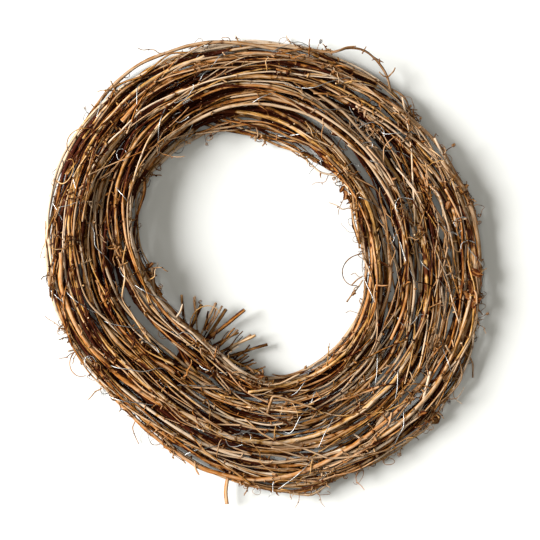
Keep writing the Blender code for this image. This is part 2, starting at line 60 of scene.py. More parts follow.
# the coil as it was modelled: the same route, stems, wires and twigs as the solids
coil = {
    "seed": 11,
    "startAngle": 232.0,
    "stepsPerTurn": 8,
    "turns": (0.09, 4.50),
    # radius and height in mm and share of full width, every eighth of a turn
    "route": [
        (168, 11, 1.00), (158, 11, 1.00), (157, 11, 1.00), (153, 12, 0.85),
        (125, 13, 0.52), (113, 13, 0.70), (121, 12, 0.70), (124, 17, 0.58),
        (104, 30, 0.68), (126, 33, 0.80), (163, 33, 1.00), (175, 31, 0.90),
        (155, 19, 0.58), (144, 13, 0.72), (150, 13, 0.82), (149, 17, 0.88),
        (138, 19, 0.90), (162, 27, 0.80), (180, 17, 1.00), (184, 14, 1.00),
        (178, 12, 0.75), (169, 12, 0.72), (182, 12, 0.82), (177, 15, 0.85),
        (160, 27, 0.90), (183, 31, 0.90), (197, 33, 1.00), (198, 32, 1.00),
        (193, 28, 0.85), (204, 14, 0.82), (217, 12, 0.80), (211, 12, 1.05),
        (184, 13, 0.95), (199, 12, 1.00), (211, 12, 1.00), (211, 13, 1.00), (205, 14, 0.90)],
    "vines": 38,
    "outerEndVines": 6,
    "vinesPerSection": 9.7,
    "vineStep": 0.0385,
    "vineRadius": (1.25 * mm, 2.35 * mm),
    "vineLength": (0.75, 1.45),
    "vineTaper": (1.1, 0.75),
    "jointSwell": 1.15,
    "ropeHalf": (0.0158, 0.0095),
    # turns round the rope's middle line per metre, and how far a stem wanders across and up
    "twist": (-1.1, 1.5),
    "drift": (0.45, 0.35),
    "driftWave": 0.45,
    "driftSpread": (0.6, 1.5),
    # share of the stem ends that stand out of the rope, and how far in half widths and half heights
    "looseEnds": 0.6,
    "looseWide": (-0.9, 1.1),
    "looseHigh": (0.1, 0.9),
    # step from stem to stem at the rope's inner and outer end, and the shortest as a share of its full length
    "innerStep": 0.006,
    "innerShortest": 0.40,
    "outerStep": 0.026,
    "outerShortest": 0.45,
    "endMargins": (0.03, 0.02),
    "gap": 0.5 * mm,
    "looseGap": 2.2 * mm,
    "sink": 0.3 * mm,
    "sag": 0.06 * mm,
    "pullHome": 0.02,
    "stiffness": (0.22, 0.03),
    "near": 12 * mm,
    "fan": [(97, 31), (70, 27), (54, 36), (38, 52), (29, 30), (24, 41), (17, 44)],
    "fanRoots": ((-75, -61), (-37, -93)),
    "fanBend": [(-82, -106), (-112, -112), (-138, -88)],
    "fanSpread": 6.0,
    "fanHeights": (17.0, 9.0, 9.5),
    "fanTaper": (0.72, 0.80, 0.90),
    "sideShoot": [(8, 207, 21), (38, 214, 23), (69, 212, 27), (86, 217, 30), (103, 213, 30), (116, 201, 28),
                  (124, 189, 25), (129, 173, 21)],
    "sideShootRadius": 1.15 * mm,
    "cutStub": [(-27, -198, 15), (-33, -213, 16), (-36, -227, 15), (-35, -240, 14)],
    "cutStubRadius": 1.75 * mm,
    "wires": 4,
    "wireRadius": 0.42 * mm,
    "wirePitch": 0.100,
    "wireSteps": 8,
    "wireBreak": 0.03,
    "wireLift": 0.3 * mm,
    "wireWobble": (0.012, 0.37),
    "wireRays": 72,
    "held": (0.025, 0.0165),
    "twigFloor": 1.5 * mm,
    "twigRise": 2 * mm,
    "spurs": 62,
    "spurLength": (7 * mm, 17 * mm),
    "spurRadius": 1.15 * mm,
    "spurTaper": (1.0, 0.85, 0.62),
    "tendrils": 16,
    "tendrilLength": (34 * mm, 62 * mm),
    "tendrilRadius": 0.62 * mm,
    "tendrilSteps": 9,
    "tendrilFree": (0.125, 0.190),
    "reach": 0.231,
    "top": 0.047,
    "burlAngle": -42.0,
    "burlRadius": 6.5 * mm,
    "burlReach": 1.18,
    "burlStand": (2.0, 9.0, 0.25),
}


def unit(v):
    # each vector divided by its length
    return v / np.linalg.norm(v, axis=-1, keepdims=True)


def either(rng, most):
    # a random number between -most and most
    return rng.uniform(-most, most)


def bearing(degrees):
    # the unit vector in the plan at an angle from the x axis
    return np.array([math.cos(math.radians(degrees)), math.sin(math.radians(degrees))])


def spline(knots, i, f):
    # a cubic from knot i to the next at the share f, its slope at a knot half the step between the neighbours
    a, b, c, d = (knots[np.clip(i + j, 0, len(knots) - 1)] for j in (-1, 0, 1, 2))
    return 0.5 * (2 * b + (c - a) * f + (2 * a - 5 * b + 4 * c - d) * f**2 + (3 * b - a - 3 * c + d) * f**3)


def routePoint(turns):
    # a smooth curve through the route's knots: x, y, z and the rope's share of its full width
    knots = np.array(coil["route"]) * (mm, mm, 1.0)
    x = np.clip(np.asarray(turns) * coil["stepsPerTurn"], 0, len(knots) - 1 - 1e-9)
    i = np.floor(x).astype(int)
    p = spline(knots, i, (x - i)[:, None])
    angle = math.radians(coil["startAngle"]) - 2 * math.pi * np.asarray(turns)
    return np.stack([p[:, 0] * np.cos(angle), p[:, 0] * np.sin(angle), p[:, 1], p[:, 2]], 1)


class Route:
    # the rope's middle line, measured by its length
    def __init__(self):
        self.turns = np.linspace(*coil["turns"], 4000)
        steps = np.linalg.norm(np.diff(routePoint(self.turns)[:, :3], axis=0), axis=1)
        self.lengths = np.concatenate([[0], np.cumsum(steps)])
        self.length = self.lengths[-1]

    def frames(self, s):
        turns = np.interp(s, self.lengths, self.turns)
        here = routePoint(turns)
        along = unit((routePoint(turns + 1e-4) - routePoint(turns - 1e-4))[:, :3])
        side = unit(np.cross(along, [0, 0, 1.0]))
        return here[:, :3], side, np.cross(side, along), here[:, 3]


def wander(rng, s):
    # mean of three sine waves of random length and start
    waves = [coil["driftWave"] * rng.uniform(*coil["driftSpread"]) for _ in range(3)]
    return sum(np.sin(2 * np.pi * (s / wave + rng.random())) for wave in waves) / 3


def thread(rng, route, s, rho, turn, drift, limit=np.inf):
    # a way through the rope: half width x (rho cos turn + wander) across, half height x (rho sin turn + wander) up
    middle, side, up, wide = route.frames(s)
    halfWidth, halfHeight = coil["ropeHalf"]
    u = halfWidth * wide * np.clip(rho * np.cos(turn) + drift[0] * wander(rng, s), -limit, limit)
    v = halfHeight / np.sqrt(wide) * (rho * np.sin(turn) + drift[1] * wander(rng, s))
    return middle, side, up, u, v


def layOutVines(route):
    # the stems start one after the other along the rope and fill its section in the golden ratio
    rng = np.random.default_rng(coil["seed"])
    count = coil["vines"]
    lengths = rng.uniform(*coil["vineLength"], count)
    lengths *= route.length * coil["vinesPerSection"] / lengths.sum()
    fan = len(coil["fan"])
    firstOfEnd = count - coil["outerEndVines"]
    halfWidth, halfHeight = coil["ropeHalf"]
    goldenShare, goldenAngle = 0.618, 2.39996
    vines = []
    for i in range(count):
        length = lengths[i]
        if i < fan:
            start = coil["innerStep"] * i
            length *= coil["innerShortest"] + (1 - coil["innerShortest"]) * (i + 1) / fan
        elif i >= firstOfEnd:
            shortest = coil["outerShortest"]
            length *= shortest + (1 - shortest) * (i - firstOfEnd + 1) / coil["outerEndVines"]
            start = route.length - length - coil["outerStep"] * (count - 1 - i)
        else:
            share = (i - fan + 0.5) / (firstOfEnd - fan)
            first, last = coil["endMargins"]
            start = min(max(share * route.length - 0.5 * length, first), route.length - length - last)
        s = np.linspace(start, start + length, int(round(length / coil["vineStep"])) + 1)
        rho = math.sqrt((0.5 + (i * goldenShare) % 1.0) / 1.5)
        turn = i * goldenAngle + 2 * np.pi * rng.uniform(*coil["twist"]) * (s - start)
        middle, side, up, u, v = thread(rng, route, s, rho, turn, coil["drift"])
        for end in (0, -1):
            if end == -1 and i >= firstOfEnd:
                u[-2:] *= 0.5
            elif rng.random() < coil["looseEnds"] and not (i < fan and end == 0):
                u[end] += halfWidth * rng.uniform(*coil["looseWide"])
                v[end] += halfHeight * rng.uniform(*coil["looseHigh"])
        points = middle + side * u[:, None] + up * v[:, None]
        if i < fan:
            lead = fanLead(i)
            points = np.concatenate([lead, points])
            s = np.concatenate([start - coil["vineStep"] * np.arange(len(lead), 0, -1), s])
        taper = np.linspace(*coil["vineTaper"], len(points))
        if rng.random() < 0.5 and i >= fan:
            taper = taper[::-1]
        radius = rng.uniform(*coil["vineRadius"]) * taper
        if i < fan:
            radius[:3] *= coil["fanTaper"]
        joint = (np.arange(len(points)) + i) % 3 == 0
        vines.append({"name": "vine_%02d" % (i + 1), "points": points, "bare": radius, "joint": joint,
                      "radius": radius * np.where(joint, coil["jointSwell"], 1.0), "s": s, "sink": coil["sink"]})
    return vines


def singleStem(name, line, radius):
    # a stem of even thickness along points in mm
    points = np.array(line, float) * mm
    even = np.full(len(points), radius)
    return {"name": name, "points": points, "radius": even, "bare": even, "sink": 0.0,
            "joint": np.arange(len(points)) % 2 == 1}


def fanLead(i):
    # tip, root and three points under the coil for stem i of the splayed end
    f = i / (len(coil["fan"]) - 1)
    angle, reach = coil["fan"][i]
    tipHeight, rootHeight, bendHeight = coil["fanHeights"]
    root = np.array(coil["fanRoots"][0]) * (1 - f) + np.array(coil["fanRoots"][1]) * f
    tip = root + reach * bearing(angle)
    lead = [(*tip, tipHeight + 4 * math.sin(3 * i)), (*root, rootHeight + 2.5 * math.sin(2 * i))]
    for (x, y), share in zip(coil["fanBend"], (0.55, 0.9, 1.0)):
        spread = coil["fanSpread"] * share
        du, dv = spread * math.cos(2.4 * i), spread * math.sin(2.4 * i)
        lead.append((x + du, y + dv, bendHeight + dv))
    return np.array(lead) * mm


def closest(p1, q1, p2, q2):
    # nearest points of two straight segments, as shares along both, with their offset and distance
    d1, d2, r = q1 - p1, q2 - p2, p1 - p2
    a, e, b = (np.einsum("ij,ij->i", x, y) for x, y in ((d1, d1), (d2, d2), (d1, d2)))
    f, c = np.einsum("ij,ij->i", d2, r), np.einsum("ij,ij->i", d1, r)
    den = a * e - b * b
    ok = den > 1e-6 * a * e
    s = np.where(ok, np.clip((b * f - c * e) / np.where(ok, den, 1), 0, 1), 0.5)
    t = np.clip((b * s + f) / e, 0, 1)
    s = np.clip((b * t - c) / a, 0, 1)
    t = np.clip((b * s + f) / e, 0, 1)
    v = p1 + d1 * s[:, None] - p2 - d2 * t[:, None]
    return s, t, v, np.linalg.norm(v, axis=1)


class Strands:
    # all stems and wires as round straight segments; the first `fixed` strands stay where they are
    def __init__(self, strands, fixed=0):
        self.strands = strands
        self.points = np.concatenate([q["points"] for q in strands])
        self.radius = np.concatenate([q["radius"] for q in strands])
        self.floor = np.concatenate([q["radius"] - q["sink"] for q in strands])
        self.first = np.cumsum([0] + [len(q["points"]) for q in strands])
        spans = list(zip(self.first[:-1], self.first[1:]))
        self.a = np.concatenate([np.arange(i, j - 1) for i, j in spans])
        self.owner = np.concatenate([np.full(j - i - 1, k) for k, (i, j) in enumerate(spans)])
        self.place = np.concatenate([np.arange(j - i - 1) for i, j in spans])
        self.inner = np.concatenate([np.arange(i + 1, j - 1) for i, j in spans if i >= self.first[fixed]])
        self.fixed = fixed

    def nearPairs(self, reach):
        p, q = self.points[self.a], self.points[self.a + 1]
        half = np.linalg.norm(q - p, axis=1) / 2 + reach / 2
        middle = ((p + q) / 2).astype(np.float32 if self.fixed else float)
        apart = ((middle[:, None, :] - middle[None])**2).sum(2)
        i, j = np.nonzero(np.triu(apart < (half[:, None] + half[None])**2, 1))
        keep = (self.owner[i] != self.owner[j]) | (np.abs(self.place[i] - self.place[j]) > 3)
        keep &= self.owner[j] >= self.fixed
        return i[keep], j[keep]

    def gaps(self, i, j):
        a, b = self.a[i], self.a[j]
        s, t, v, far = closest(self.points[a], self.points[a + 1], self.points[b], self.points[b + 1])
        r = self.radius
        return s, t, v, far, far - r[a] * (1 - s) - r[a + 1] * s - r[b] * (1 - t) - r[b + 1] * t

    def settle(self, rounds, spread, hard):
        # overlapping segments are pushed apart along their shortest line, bends are kept
        home = self.points.copy()
        m = self.inner
        free = self.first[self.fixed]
        bend = home[m - 1] + home[m + 1] - 2 * home[m]
        early, late = coil["stiffness"]
        for n in range(rounds):
            if n % 10 == 0:
                i, j = self.nearPairs(coil["near"])
            last = n >= rounds * (1 - hard)
            x = self.points
            if not last:
                x = x + coil["pullHome"] * (home - x) - np.array([0, 0, coil["sag"]])
            if n < rounds - 40:
                change = (late if last else early) * (x[m - 1] + x[m + 1] - 2 * x[m] - bend)
                x[m] += 0.5 * change
                x[m - 1] -= 0.25 * change
                x[m + 1] -= 0.25 * change
            x[:free] = home[:free]
            self.points = x
            s, t, v, far, gap = self.gaps(i, j)
            gap = gap - coil["gap"] - (0 if last else spread)
            hit = gap < 0
            soft = 1.0 if last else np.where(gap[hit] < -spread, 0.8, 0.12)
            push = (-0.5 * gap[hit] * soft / np.maximum(far[hit], 1e-9))[:, None] * v[hit]
            move, load = np.zeros_like(x), np.zeros(len(x))
            for seg, w, sign in ((self.a[i[hit]], s[hit], 1), (self.a[j[hit]], t[hit], -1)):
                for point, part in ((seg, 1 - w), (seg + 1, w)):
                    np.add.at(move, point, sign * push * (part / ((1 - w)**2 + w**2))[:, None])
                    np.add.at(load, point, part)
            move[:free] = 0
            x = x + move / np.sqrt(np.maximum(1.0, load))[:, None]
            x[:, 2] = np.maximum(x[:, 2], self.floor)
            self.points = np.round(x, 8)
        for k, strand in enumerate(self.strands):
            strand["points"] = self.points[self.first[k]:self.first[k + 1]]

    def clearance(self, points, radius, segments):
        # least gap between a line of points and the given segments
        n, k = len(points) - 1, len(segments)
        a, b = np.repeat(np.arange(n), k), np.tile(segments, n)
        s, t, _, far = closest(points[a], points[a + 1], self.points[b], self.points[b + 1])
        r = self.radius
        return (far - radius[a] * (1 - s) - radius[a + 1] * s - r[b] * (1 - t) - r[b + 1] * t).min()

    def add(self, points, radius, owner):
        self.a = np.concatenate([self.a, len(self.points) + np.arange(len(points) - 1)])
        self.owner = np.concatenate([self.owner, np.full(len(points) - 1, owner)])
        self.points = np.concatenate([self.points, points])
        self.radius = np.concatenate([self.radius, radius])


def windWires(vines, route):
    # a spiral that touches the outline of the stems it holds
    psi = np.linspace(0, 2 * np.pi, coil["wireRays"], endpoint=False)
    compass = np.stack([np.cos(psi), np.sin(psi)], 1)
    wobble, wobbleTurn = coil["wireWobble"]
    ends = np.linspace(coil["wireBreak"] / 2, route.length - coil["wireBreak"] / 2, coil["wires"] + 1)
    wires = []
    for k in range(coil["wires"]):
        turns = (ends[k + 1] - coil["wireBreak"] - ends[k]) / coil["wirePitch"]
        phi = np.arange(0, turns * 2 * np.pi, 2 * np.pi / coil["wireSteps"]) + 1.3 * k
        s = ends[k] + coil["wirePitch"] * (phi - phi[0]) / (2 * np.pi) + wobble * np.sin(wobbleTurn * phi + k)
        middle, side, up, _ = route.frames(s)
        points = []
        for m in range(len(s)):
            here = [vine for vine in vines if vine["s"][0] <= s[m] <= vine["s"][-1]]
            size = np.array([np.interp(s[m], vine["s"], vine["radius"]) for vine in here])
            held = [[np.interp(s[m], vine["s"], vine["points"][:, c]) for c in range(3)] for vine in here]
            held = (np.array(held) - middle[m]) @ np.stack([side[m], up[m]], 1)
            centre = np.median(held, axis=0)
            keep = np.linalg.norm((held - centre) / coil["held"], axis=1) < 1
            width = ((held[keep] - centre) @ compass.T + size[keep][:, None]).max(0)
            width += coil["wireRadius"] + coil["gap"]
            ray = np.array([math.cos(phi[m]), math.sin(phi[m])])
            facing = compass @ ray
            ahead = facing > 0.15
            at = centre + ray * (width[ahead] / facing[ahead]).min()
            points.append(middle[m] + side[m] * at[0] + up[m] * at[1])
        wires.append({"name": "wire_%d" % (k + 1), "points": np.array(points),
                      "radius": np.full(len(points), coil["wireRadius"]), "sink": -coil["wireLift"]})
    return wires


def twigLine(root, out, along, length, lean, curl, steps):
    # a line of even steps whose heading leaves out towards along by the angle lean + curl x t^1.5
    t = (np.arange(steps) + 0.5) / steps
    angle = lean + curl * t**1.5
    heading = out * np.cos(angle)[:, None] + along * np.sin(angle)[:, None]
    return np.concatenate([[root], root + np.cumsum(heading, axis=0) * length / steps])


def drawSpur(rng, root, out, along, thick):
    points = twigLine(root, out, along, rng.uniform(*coil["spurLength"]), rng.uniform(-0.9, 0.9),
                      rng.uniform(-0.7, 0.7), 2)
    return points, min(0.62 * thick, coil["spurRadius"]) * np.array(coil["spurTaper"])


def drawTendril(rng, root, out, along, thick):
    steps = coil["tendrilSteps"]
    points = twigLine(root, out, along, rng.uniform(*coil["tendrilLength"]), rng.uniform(-0.8, 0.8),
                      rng.choice((-1, 1)) * rng.uniform(2.2, 5.2), steps)
    points[:, 2] += rng.uniform(-0.5, 0.7) * mm * np.arange(steps + 1)
    return points, coil["tendrilRadius"] * np.linspace(1.0, 0.66, steps + 1)


def walk(heading, step):
    # a line in the plan, one step along each heading
    return np.cumsum(np.stack([np.cos(heading), np.sin(heading)], 1), axis=0) * step


def sampled(x, at, line):
    # the line's coordinates read off at x
    return np.stack([np.interp(x, at, line[:, c]) for c in range(3)], 1)


def growTwigs(strands, vines):
    # the twigs of the solids: drawn at random, kept where they stay clear of every other piece
    rng = np.random.default_rng(coil["seed"] + 1)
    twigs = []
    for draw, wanted, edgeOnly in ((drawTendril, coil["tendrils"], True), (drawSpur, coil["spurs"], False)):
        made = 0
        for _ in range(8000):
            if made == wanted:
                break
            k = int(rng.integers(0, coil["vines"]))
            line = vines[k]["points"]
            n = int(rng.integers(1, len(line) - 2))
            root = line[n] + (line[n + 1] - line[n]) * rng.uniform(0.15, 0.85)
            along = (line[n + 1] - line[n]) / np.linalg.norm(line[n + 1] - line[n])
            out = rng.normal(size=3) * (1, 1, 0.6) + (0, 0, 0.35)
            out -= along * (out @ along)
            out /= np.linalg.norm(out)
            thick = vines[k]["radius"][n]
            points, radius = draw(rng, root, out, along, thick)
            if edgeOnly and coil["tendrilFree"][0] < np.linalg.norm(root[:2]) < coil["tendrilFree"][1]:
                continue
            if np.linalg.norm(points[:, :2], axis=1).max() > coil["reach"]:
                continue
            if points[:, 2].min() < coil["twigFloor"] or points[:, 2].max() > coil["top"]:
                continue
            if (points[-1] - root) @ out < thick + coil["twigRise"]:
                continue
            own = strands.owner == k
            if strands.clearance(points, radius, strands.a[~own]) < coil["gap"]:
                continue
            if edgeOnly and strands.clearance(points[2:], radius[2:], strands.a[own]) < coil["gap"]:
                continue
            strands.add(points, radius, k)
            twigs.append({"vine": k, "points": points, "radius": radius, "curled": edgeOnly})
            made += 1
    return twigs


def placeBurl(strands, vines):
    # the knob on the outermost stem in the burl's direction: the stem's number and the knob's middle
    ray = np.array([*bearing(coil["burlAngle"]), 0.0])
    best = None
    for k in range(coil["vines"]):
        line = vines[k]["points"]
        fine = np.linspace(0, len(line) - 1, 8 * len(line))
        dots = sampled(fine, np.arange(len(line)), line)
        across = np.abs(dots[:, 1] * ray[0] - dots[:, 0] * ray[1])
        for dot in dots[(across < 3 * mm) & (dots @ ray > 0.15)]:
            if best is None or dot @ ray > best[1] @ ray:
                best = (k, dot)
    k, dot = best
    others = strands.a[strands.owner != k]
    for out in np.arange(*coil["burlStand"]) * mm:
        middle = dot + ray * out
        point = np.array([middle, middle + (0, 0, 1e-6)])
        if strands.clearance(point, np.full(2, coil["burlRadius"] * coil["burlReach"]), others) > coil["gap"]:
            break
    return k, middle


route = Route()
vines = layOutVines(route)
singles = [singleStem("side_shoot", coil["sideShoot"], coil["sideShootRadius"]),
           singleStem("cut_stub", coil["cutStub"], coil["cutStubRadius"])]
Strands(vines + singles).settle(rounds=240, spread=coil["looseGap"], hard=0.3)
wires = windWires(vines, route)
solids = Strands(vines + singles + wires)
solids.settle(rounds=300, spread=0.0, hard=0.7)
burlVine, burlMiddle = placeBurl(solids, vines)
twigs = growTwigs(solids, vines)

# the solids were centred on the origin after they were made: the wires' boxes give that shift
offsets = []
for wire in wires:
    low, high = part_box(wire["name"])
    offsets.append((np.array(low) + np.array(high)) / 2 - (wire["points"].min(0) + wire["points"].max(0)) / 2)
shift = np.mean(offsets, axis=0) * (1, 1, 0)
print("coil laid out, shift", np.round(shift / mm, 2), "wires agree within",
      np.round(np.ptp(offsets, axis=0) / mm, 2), "mm")


def onFloor(x, y):
    # a point of the photo's frame, given in mm
    return np.array([x, y]) * mm + shift[:2]


# fine stems that fill the rope between the solid ones
runners = {
    "seed": 23,
    "count": 116,
    "length": (0.20, 0.80),
    "radius": (0.55 * mm, 1.20 * mm),
    "step": 0.034,
    "spread": 0.85,
    "limit": 0.68,
    "twist": (-2.6, 3.0),
    "drift": (0.55, 0.40),
    "looseEnds": 0.5,
    "looseWide": (-0.5, 0.7),
    "looseHigh": (-0.2, 0.8),
    "taper": (1.1, 0.7),
    "crook": 2.2,
    "rounds": (110, 24),
    "ringSpacing": 5.5 * mm,
    "sides": 8,
    "toneSpread": 0.28,
    # stems where the rope spreads: how often each is laid, height over the floor, x and y in the photo's frame, in mm
    "laid": [
        (2, 24, [(-181, 129), (-165, 152), (-145, 174), (-120, 192), (-92, 205), (-60, 212)]),
        (3, 20, [(-195, 90), (-182, 116), (-162, 144), (-139, 168), (-112, 187), (-84, 200)]),
        (6, 14, [(148, 110), (163, 87), (175, 62), (184, 33), (188, 3), (188, -27), (184, -57), (177, -85),
                 (168, -110)]),
        (4, 12, [(-82, -80), (-66, -97), (-50, -114), (-30, -127), (-7, -135), (23, -137), (53, -133)]),
        (6, 14, [(-64, 150), (-38, 141), (-12, 134), (13, 126), (38, 115), (60, 102), (78, 85), (88, 67), (95, 45),
                 (101, 18)]),
        (4, 12, [(-30, -214), (-8, -221), (15, -226), (43, -228), (72, -219), (97, -203)]),
        (3, 16, [(-116, 90), (-123, 70), (-126, 45), (-124, 20), (-116, -3), (-104, -25)]),
        (4, 16, [(56, 209), (86, 198), (112, 184), (134, 167), (150, 150), (163, 128)]),
        (3, 12, [(56, -187), (83, -179), (103, -166), (123, -147), (138, -127)])],
    "laidRadius": (0.8 * mm, 1.6 * mm),
    # how far the copies lie apart as a whole and how far each of their points strays
    "laidApart": (2.6 * mm, 2.6 * mm, 3.0 * mm),
    "laidStray": (1.8 * mm, 1.8 * mm, 1.5 * mm),
    # thin broken stems that lie across the others
    "strays": 60,
    "strayLength": (0.035, 0.130),
    "strayAngle": (0.08, 0.45),
    "strayRadius": (0.50 * mm, 1.05 * mm),
    "strayPoints": 8,
    "strayBend": 4.0,
    "strayDip": (0.0 * mm, 3.0 * mm),
    "strayTone": -0.12,
    "strayLowest": 6 * mm,
    "strayHighest": 48 * mm,
    # places where the floor shows between the turns: half the width, and x and y in the photo's frame in mm
    "clearings": [
        (4.5, [(0, 161), (28, 155), (50, 145), (64, 136), (79, 119), (90, 105), (101, 91), (109, 75), (116, 58),
               (121, 44), (121, 21), (120, -10), (118, -31)]),
        (5.5, [(-144, 0), (-138, -20), (-128, -38), (-116, -57), (-102, -73), (-90, -85)]),
        (3.5, [(118, -170), (138, -153), (156, -133)]),
        (3.5, [(171, 84), (175, 62), (178, 42), (181, 20)]),
        (2.5, [(96, 142), (108, 122), (116, 108)]),
        (3.0, [(36, -199), (60, -195), (78, -190)])],
}


def fineStem(points, radius, joint, tone=0.0):
    # what a stem needs to be settled and covered with bark; a tone under 0 is darker
    return {"points": points, "radius": radius, "bare": radius, "sink": 0.0, "joint": joint, "tone": tone}


def layOutRunners(route):
    # like the stems, shorter and thinner, and nearer the outside of the rope
    rng = np.random.default_rng(runners["seed"])
    halfWidth, halfHeight = coil["ropeHalf"]
    strands = []
    for i in range(runners["count"]):
        length = rng.uniform(*runners["length"])
        start = (i + rng.random()) / runners["count"] * (route.length - length - 0.06) + 0.02
        s = np.linspace(start, start + length, int(round(length / runners["step"])) + 1)
        rho = runners["spread"] * math.sqrt(0.35 + 0.65 * rng.random())
        turn = rng.uniform(0, 6.283) + 2 * np.pi * rng.uniform(*runners["twist"]) * (s - start)
        middle, side, up, u, v = thread(rng, route, s, rho, turn, runners["drift"], runners["limit"])
        for end in (0, -1):
            if rng.random() < runners["looseEnds"]:
                u[end] += halfWidth * rng.uniform(*runners["looseWide"])
                v[end] += halfHeight * rng.uniform(*runners["looseHigh"])
        points = middle + side * u[:, None] + up * v[:, None]
        radius = rng.uniform(*runners["radius"]) * np.linspace(*runners["taper"], len(points))
        strands.append(fineStem(points, radius, (np.arange(len(points)) + i) % 2 == 0))
    for times, height, line in runners["laid"]:
        for i in range(times):
            points = np.column_stack([line, np.full(len(line), height)]) * mm
            points += rng.normal(size=points.shape) * runners["laidStray"]
            points += rng.normal(size=3) * runners["laidApart"]
            radius = rng.uniform(*runners["laidRadius"]) * np.linspace(*runners["taper"], len(points))
            strands.append(fineStem(points, radius, (np.arange(len(points)) + i) % 2 == 0))
    return strands


def beside(points, line):
    # signed distance of each point from a line of points in the plan, and the direction away from it
    start, step = np.array(line[:-1], float) * mm, np.diff(np.array(line, float), axis=0) * mm
    t = np.clip(((points[:, None, :2] - start) * step).sum(2) / (step**2).sum(1), 0, 1)
    gap = points[:, None, :2] - start - t[..., None] * step
    near = np.linalg.norm(gap, axis=2).argmin(1)
    gap, step = gap[np.arange(len(points)), near], step[near]
    away = np.linalg.norm(gap, axis=1)
    side = np.where(step[:, 0] * gap[:, 1] - step[:, 1] * gap[:, 0] < 0, -1.0, 1.0)
    return side * away, gap / (side * away + 1e-9)[:, None]


def clearGaps(strands):
    # each stem that runs along a clearing is moved to the side on which most of it lies
    for strand in strands:
        for half, line in runners["clearings"]:
            away, out = beside(strand["points"], line)
            reach = half * mm + strand["bare"]
            inside = np.abs(away) < reach
            if inside.any():
                side = 1.0 if away[inside].mean() > 0 else -1.0
                strand["points"][inside, :2] += out[inside] * (side * reach - away)[inside, None]


fineStems = layOutRunners(route)
still = vines + singles + wires
for rounds in runners["rounds"]:
    Strands(still + fineStems, fixed=len(still)).settle(rounds=rounds, spread=0.0, hard=0.5)
    clearGaps(fineStems)
print("fine stems laid in:", len(fineStems))


# how stems, twigs and wire are turned into surfaces
surface = {
    "ringSpacing": 4.2 * mm,
    "sides": 12,
    "fullness": 1.03,
    "toneSpread": 0.24,
    "jointRings": np.array([-5.0, -3.2, -1.9, -0.9, 0.0, 0.9, 1.9, 3.2, 5.0]) * mm,
    "jointWidth": 1.9 * mm,
    "jointSwell": 0.40,
    "jointsBetween": 0.6,
    # how much collars differ in width, height and how far they stand to one side
    "collarWidth": (0.6, 1.3),
    "collarHeight": (0.25, 1.0),
    "collarLean": (0.2, 1.0),
    "waviness": 0.45 * mm,
    "waveLengths": (0.11, 0.035),
    "straightEnd": 0.02,
    "ridges": 0.085,
    # ridges: their number and share, how far their phase wanders and turns per metre, longest and shortest wave
    "lobes": ((2, 0.8), (3, 1.0), (5, 0.7)),
    "lobeWander": 2.2,
    "lobeTwist": 9,
    "lobeWaves": (0.16, 0.05),
    "girth": 0.05,
    "girthWaves": (0.09, 0.02),
    "kink": 0.75 * mm,
    # how much darker the splayed tips are, and over which length
    "darkTip": 0.3,
    "darkLength": 0.075,
    # sides, ring spacing and flare of the solids' tendrils and spurs
    "tendril": (8, 2.2 * mm, 0.3),
    "spur": (9, 1.6 * mm, 0.55),
    "tendrilDarker": 0.25,
    "flareLength": 1.6 * mm,
    "twigOval": 0.10,
    "twigTone": 0.12,
    "rootJoint": (0.75, 2.2 * mm),
    "dome": 0.12,
    # painted shade: how much darker a place grows the deeper it lies under other stems or in from the coil's sides
    "paintedShade": 1.15,
    # painted highlight on the upward faces of stems and painted shade on their sides and undersides
    "paintedLightByFacing": 0.55,
    "grainApart": 40,
}


def smoothPath(points, radius, spacing, knots=()):
    # a curve that bends evenly through the points, cut into rings of equal spacing, closer at the joints
    n = len(points)
    fine = np.linspace(0, n - 1, 16 * (n - 1) + 1)
    i = np.minimum(fine.astype(int), n - 2)
    padded = np.concatenate([2 * points[:1] - points[1:2], points, 2 * points[-1:] - points[-2:-1]])
    line = spline(padded, i + 1, (fine - i)[:, None])
    length = np.concatenate([[0], np.cumsum(np.linalg.norm(np.diff(line, axis=0), axis=1))])
    at = np.linspace(0, length[-1], max(4, int(round(length[-1] / spacing)) + 1))
    joints = np.interp(knots, fine, length)
    if len(joints):
        close = (joints[:, None] + surface["jointRings"]).ravel()
        close = close[(close > 0.5 * mm) & (close < length[-1] - 0.5 * mm)]
        far = np.abs(at[:, None] - close[None]).min(1) > 1.0 * mm
        far[[0, -1]] = True
        at = np.sort(np.concatenate([at[far], close]))
        at = at[np.concatenate([[True], np.diff(at) > 0.25 * mm])]
    size = np.interp(np.interp(at, length, fine), np.arange(n), radius)
    return sampled(at, length, line), at, size, joints


def waves(rng, s, longest, shortest, count=4):
    # sum of sines of random length and start, between about -1 and 1
    lengths = np.exp(rng.uniform(np.log(shortest), np.log(longest), count))
    return (np.sin(2 * np.pi * (s[:, None] / lengths + rng.random(count)))).sum(1) / count**0.5


def planeNormal(points):
    # the direction in which a line of points is flattest
    normal = np.linalg.svd(points - points.mean(0))[2][2]
    return normal if normal[2] >= 0 else -normal


# squares of the floor, and sectors and layers round it, in which the coil's reach is kept; a place within skin of the
# reach is open, and one that lies deep under it gets the darkest painted shade
hollow = {
    "cell": 2.5 * mm,
    "half": 110,
    "sectors": 200,
    "layer": 5 * mm,
    "layers": 16,
    "skin": 1.0 * mm,
    "deep": 7.5 * mm,
    "sideRate": 1.4,
    "power": 0.7,
}


def widened(height, reach):
    # each square takes the greatest height of the squares up to reach away
    for axis in (0, 1):
        height = np.max([np.roll(height, k, axis) for k in range(-reach, reach + 1)], 0)
    return height


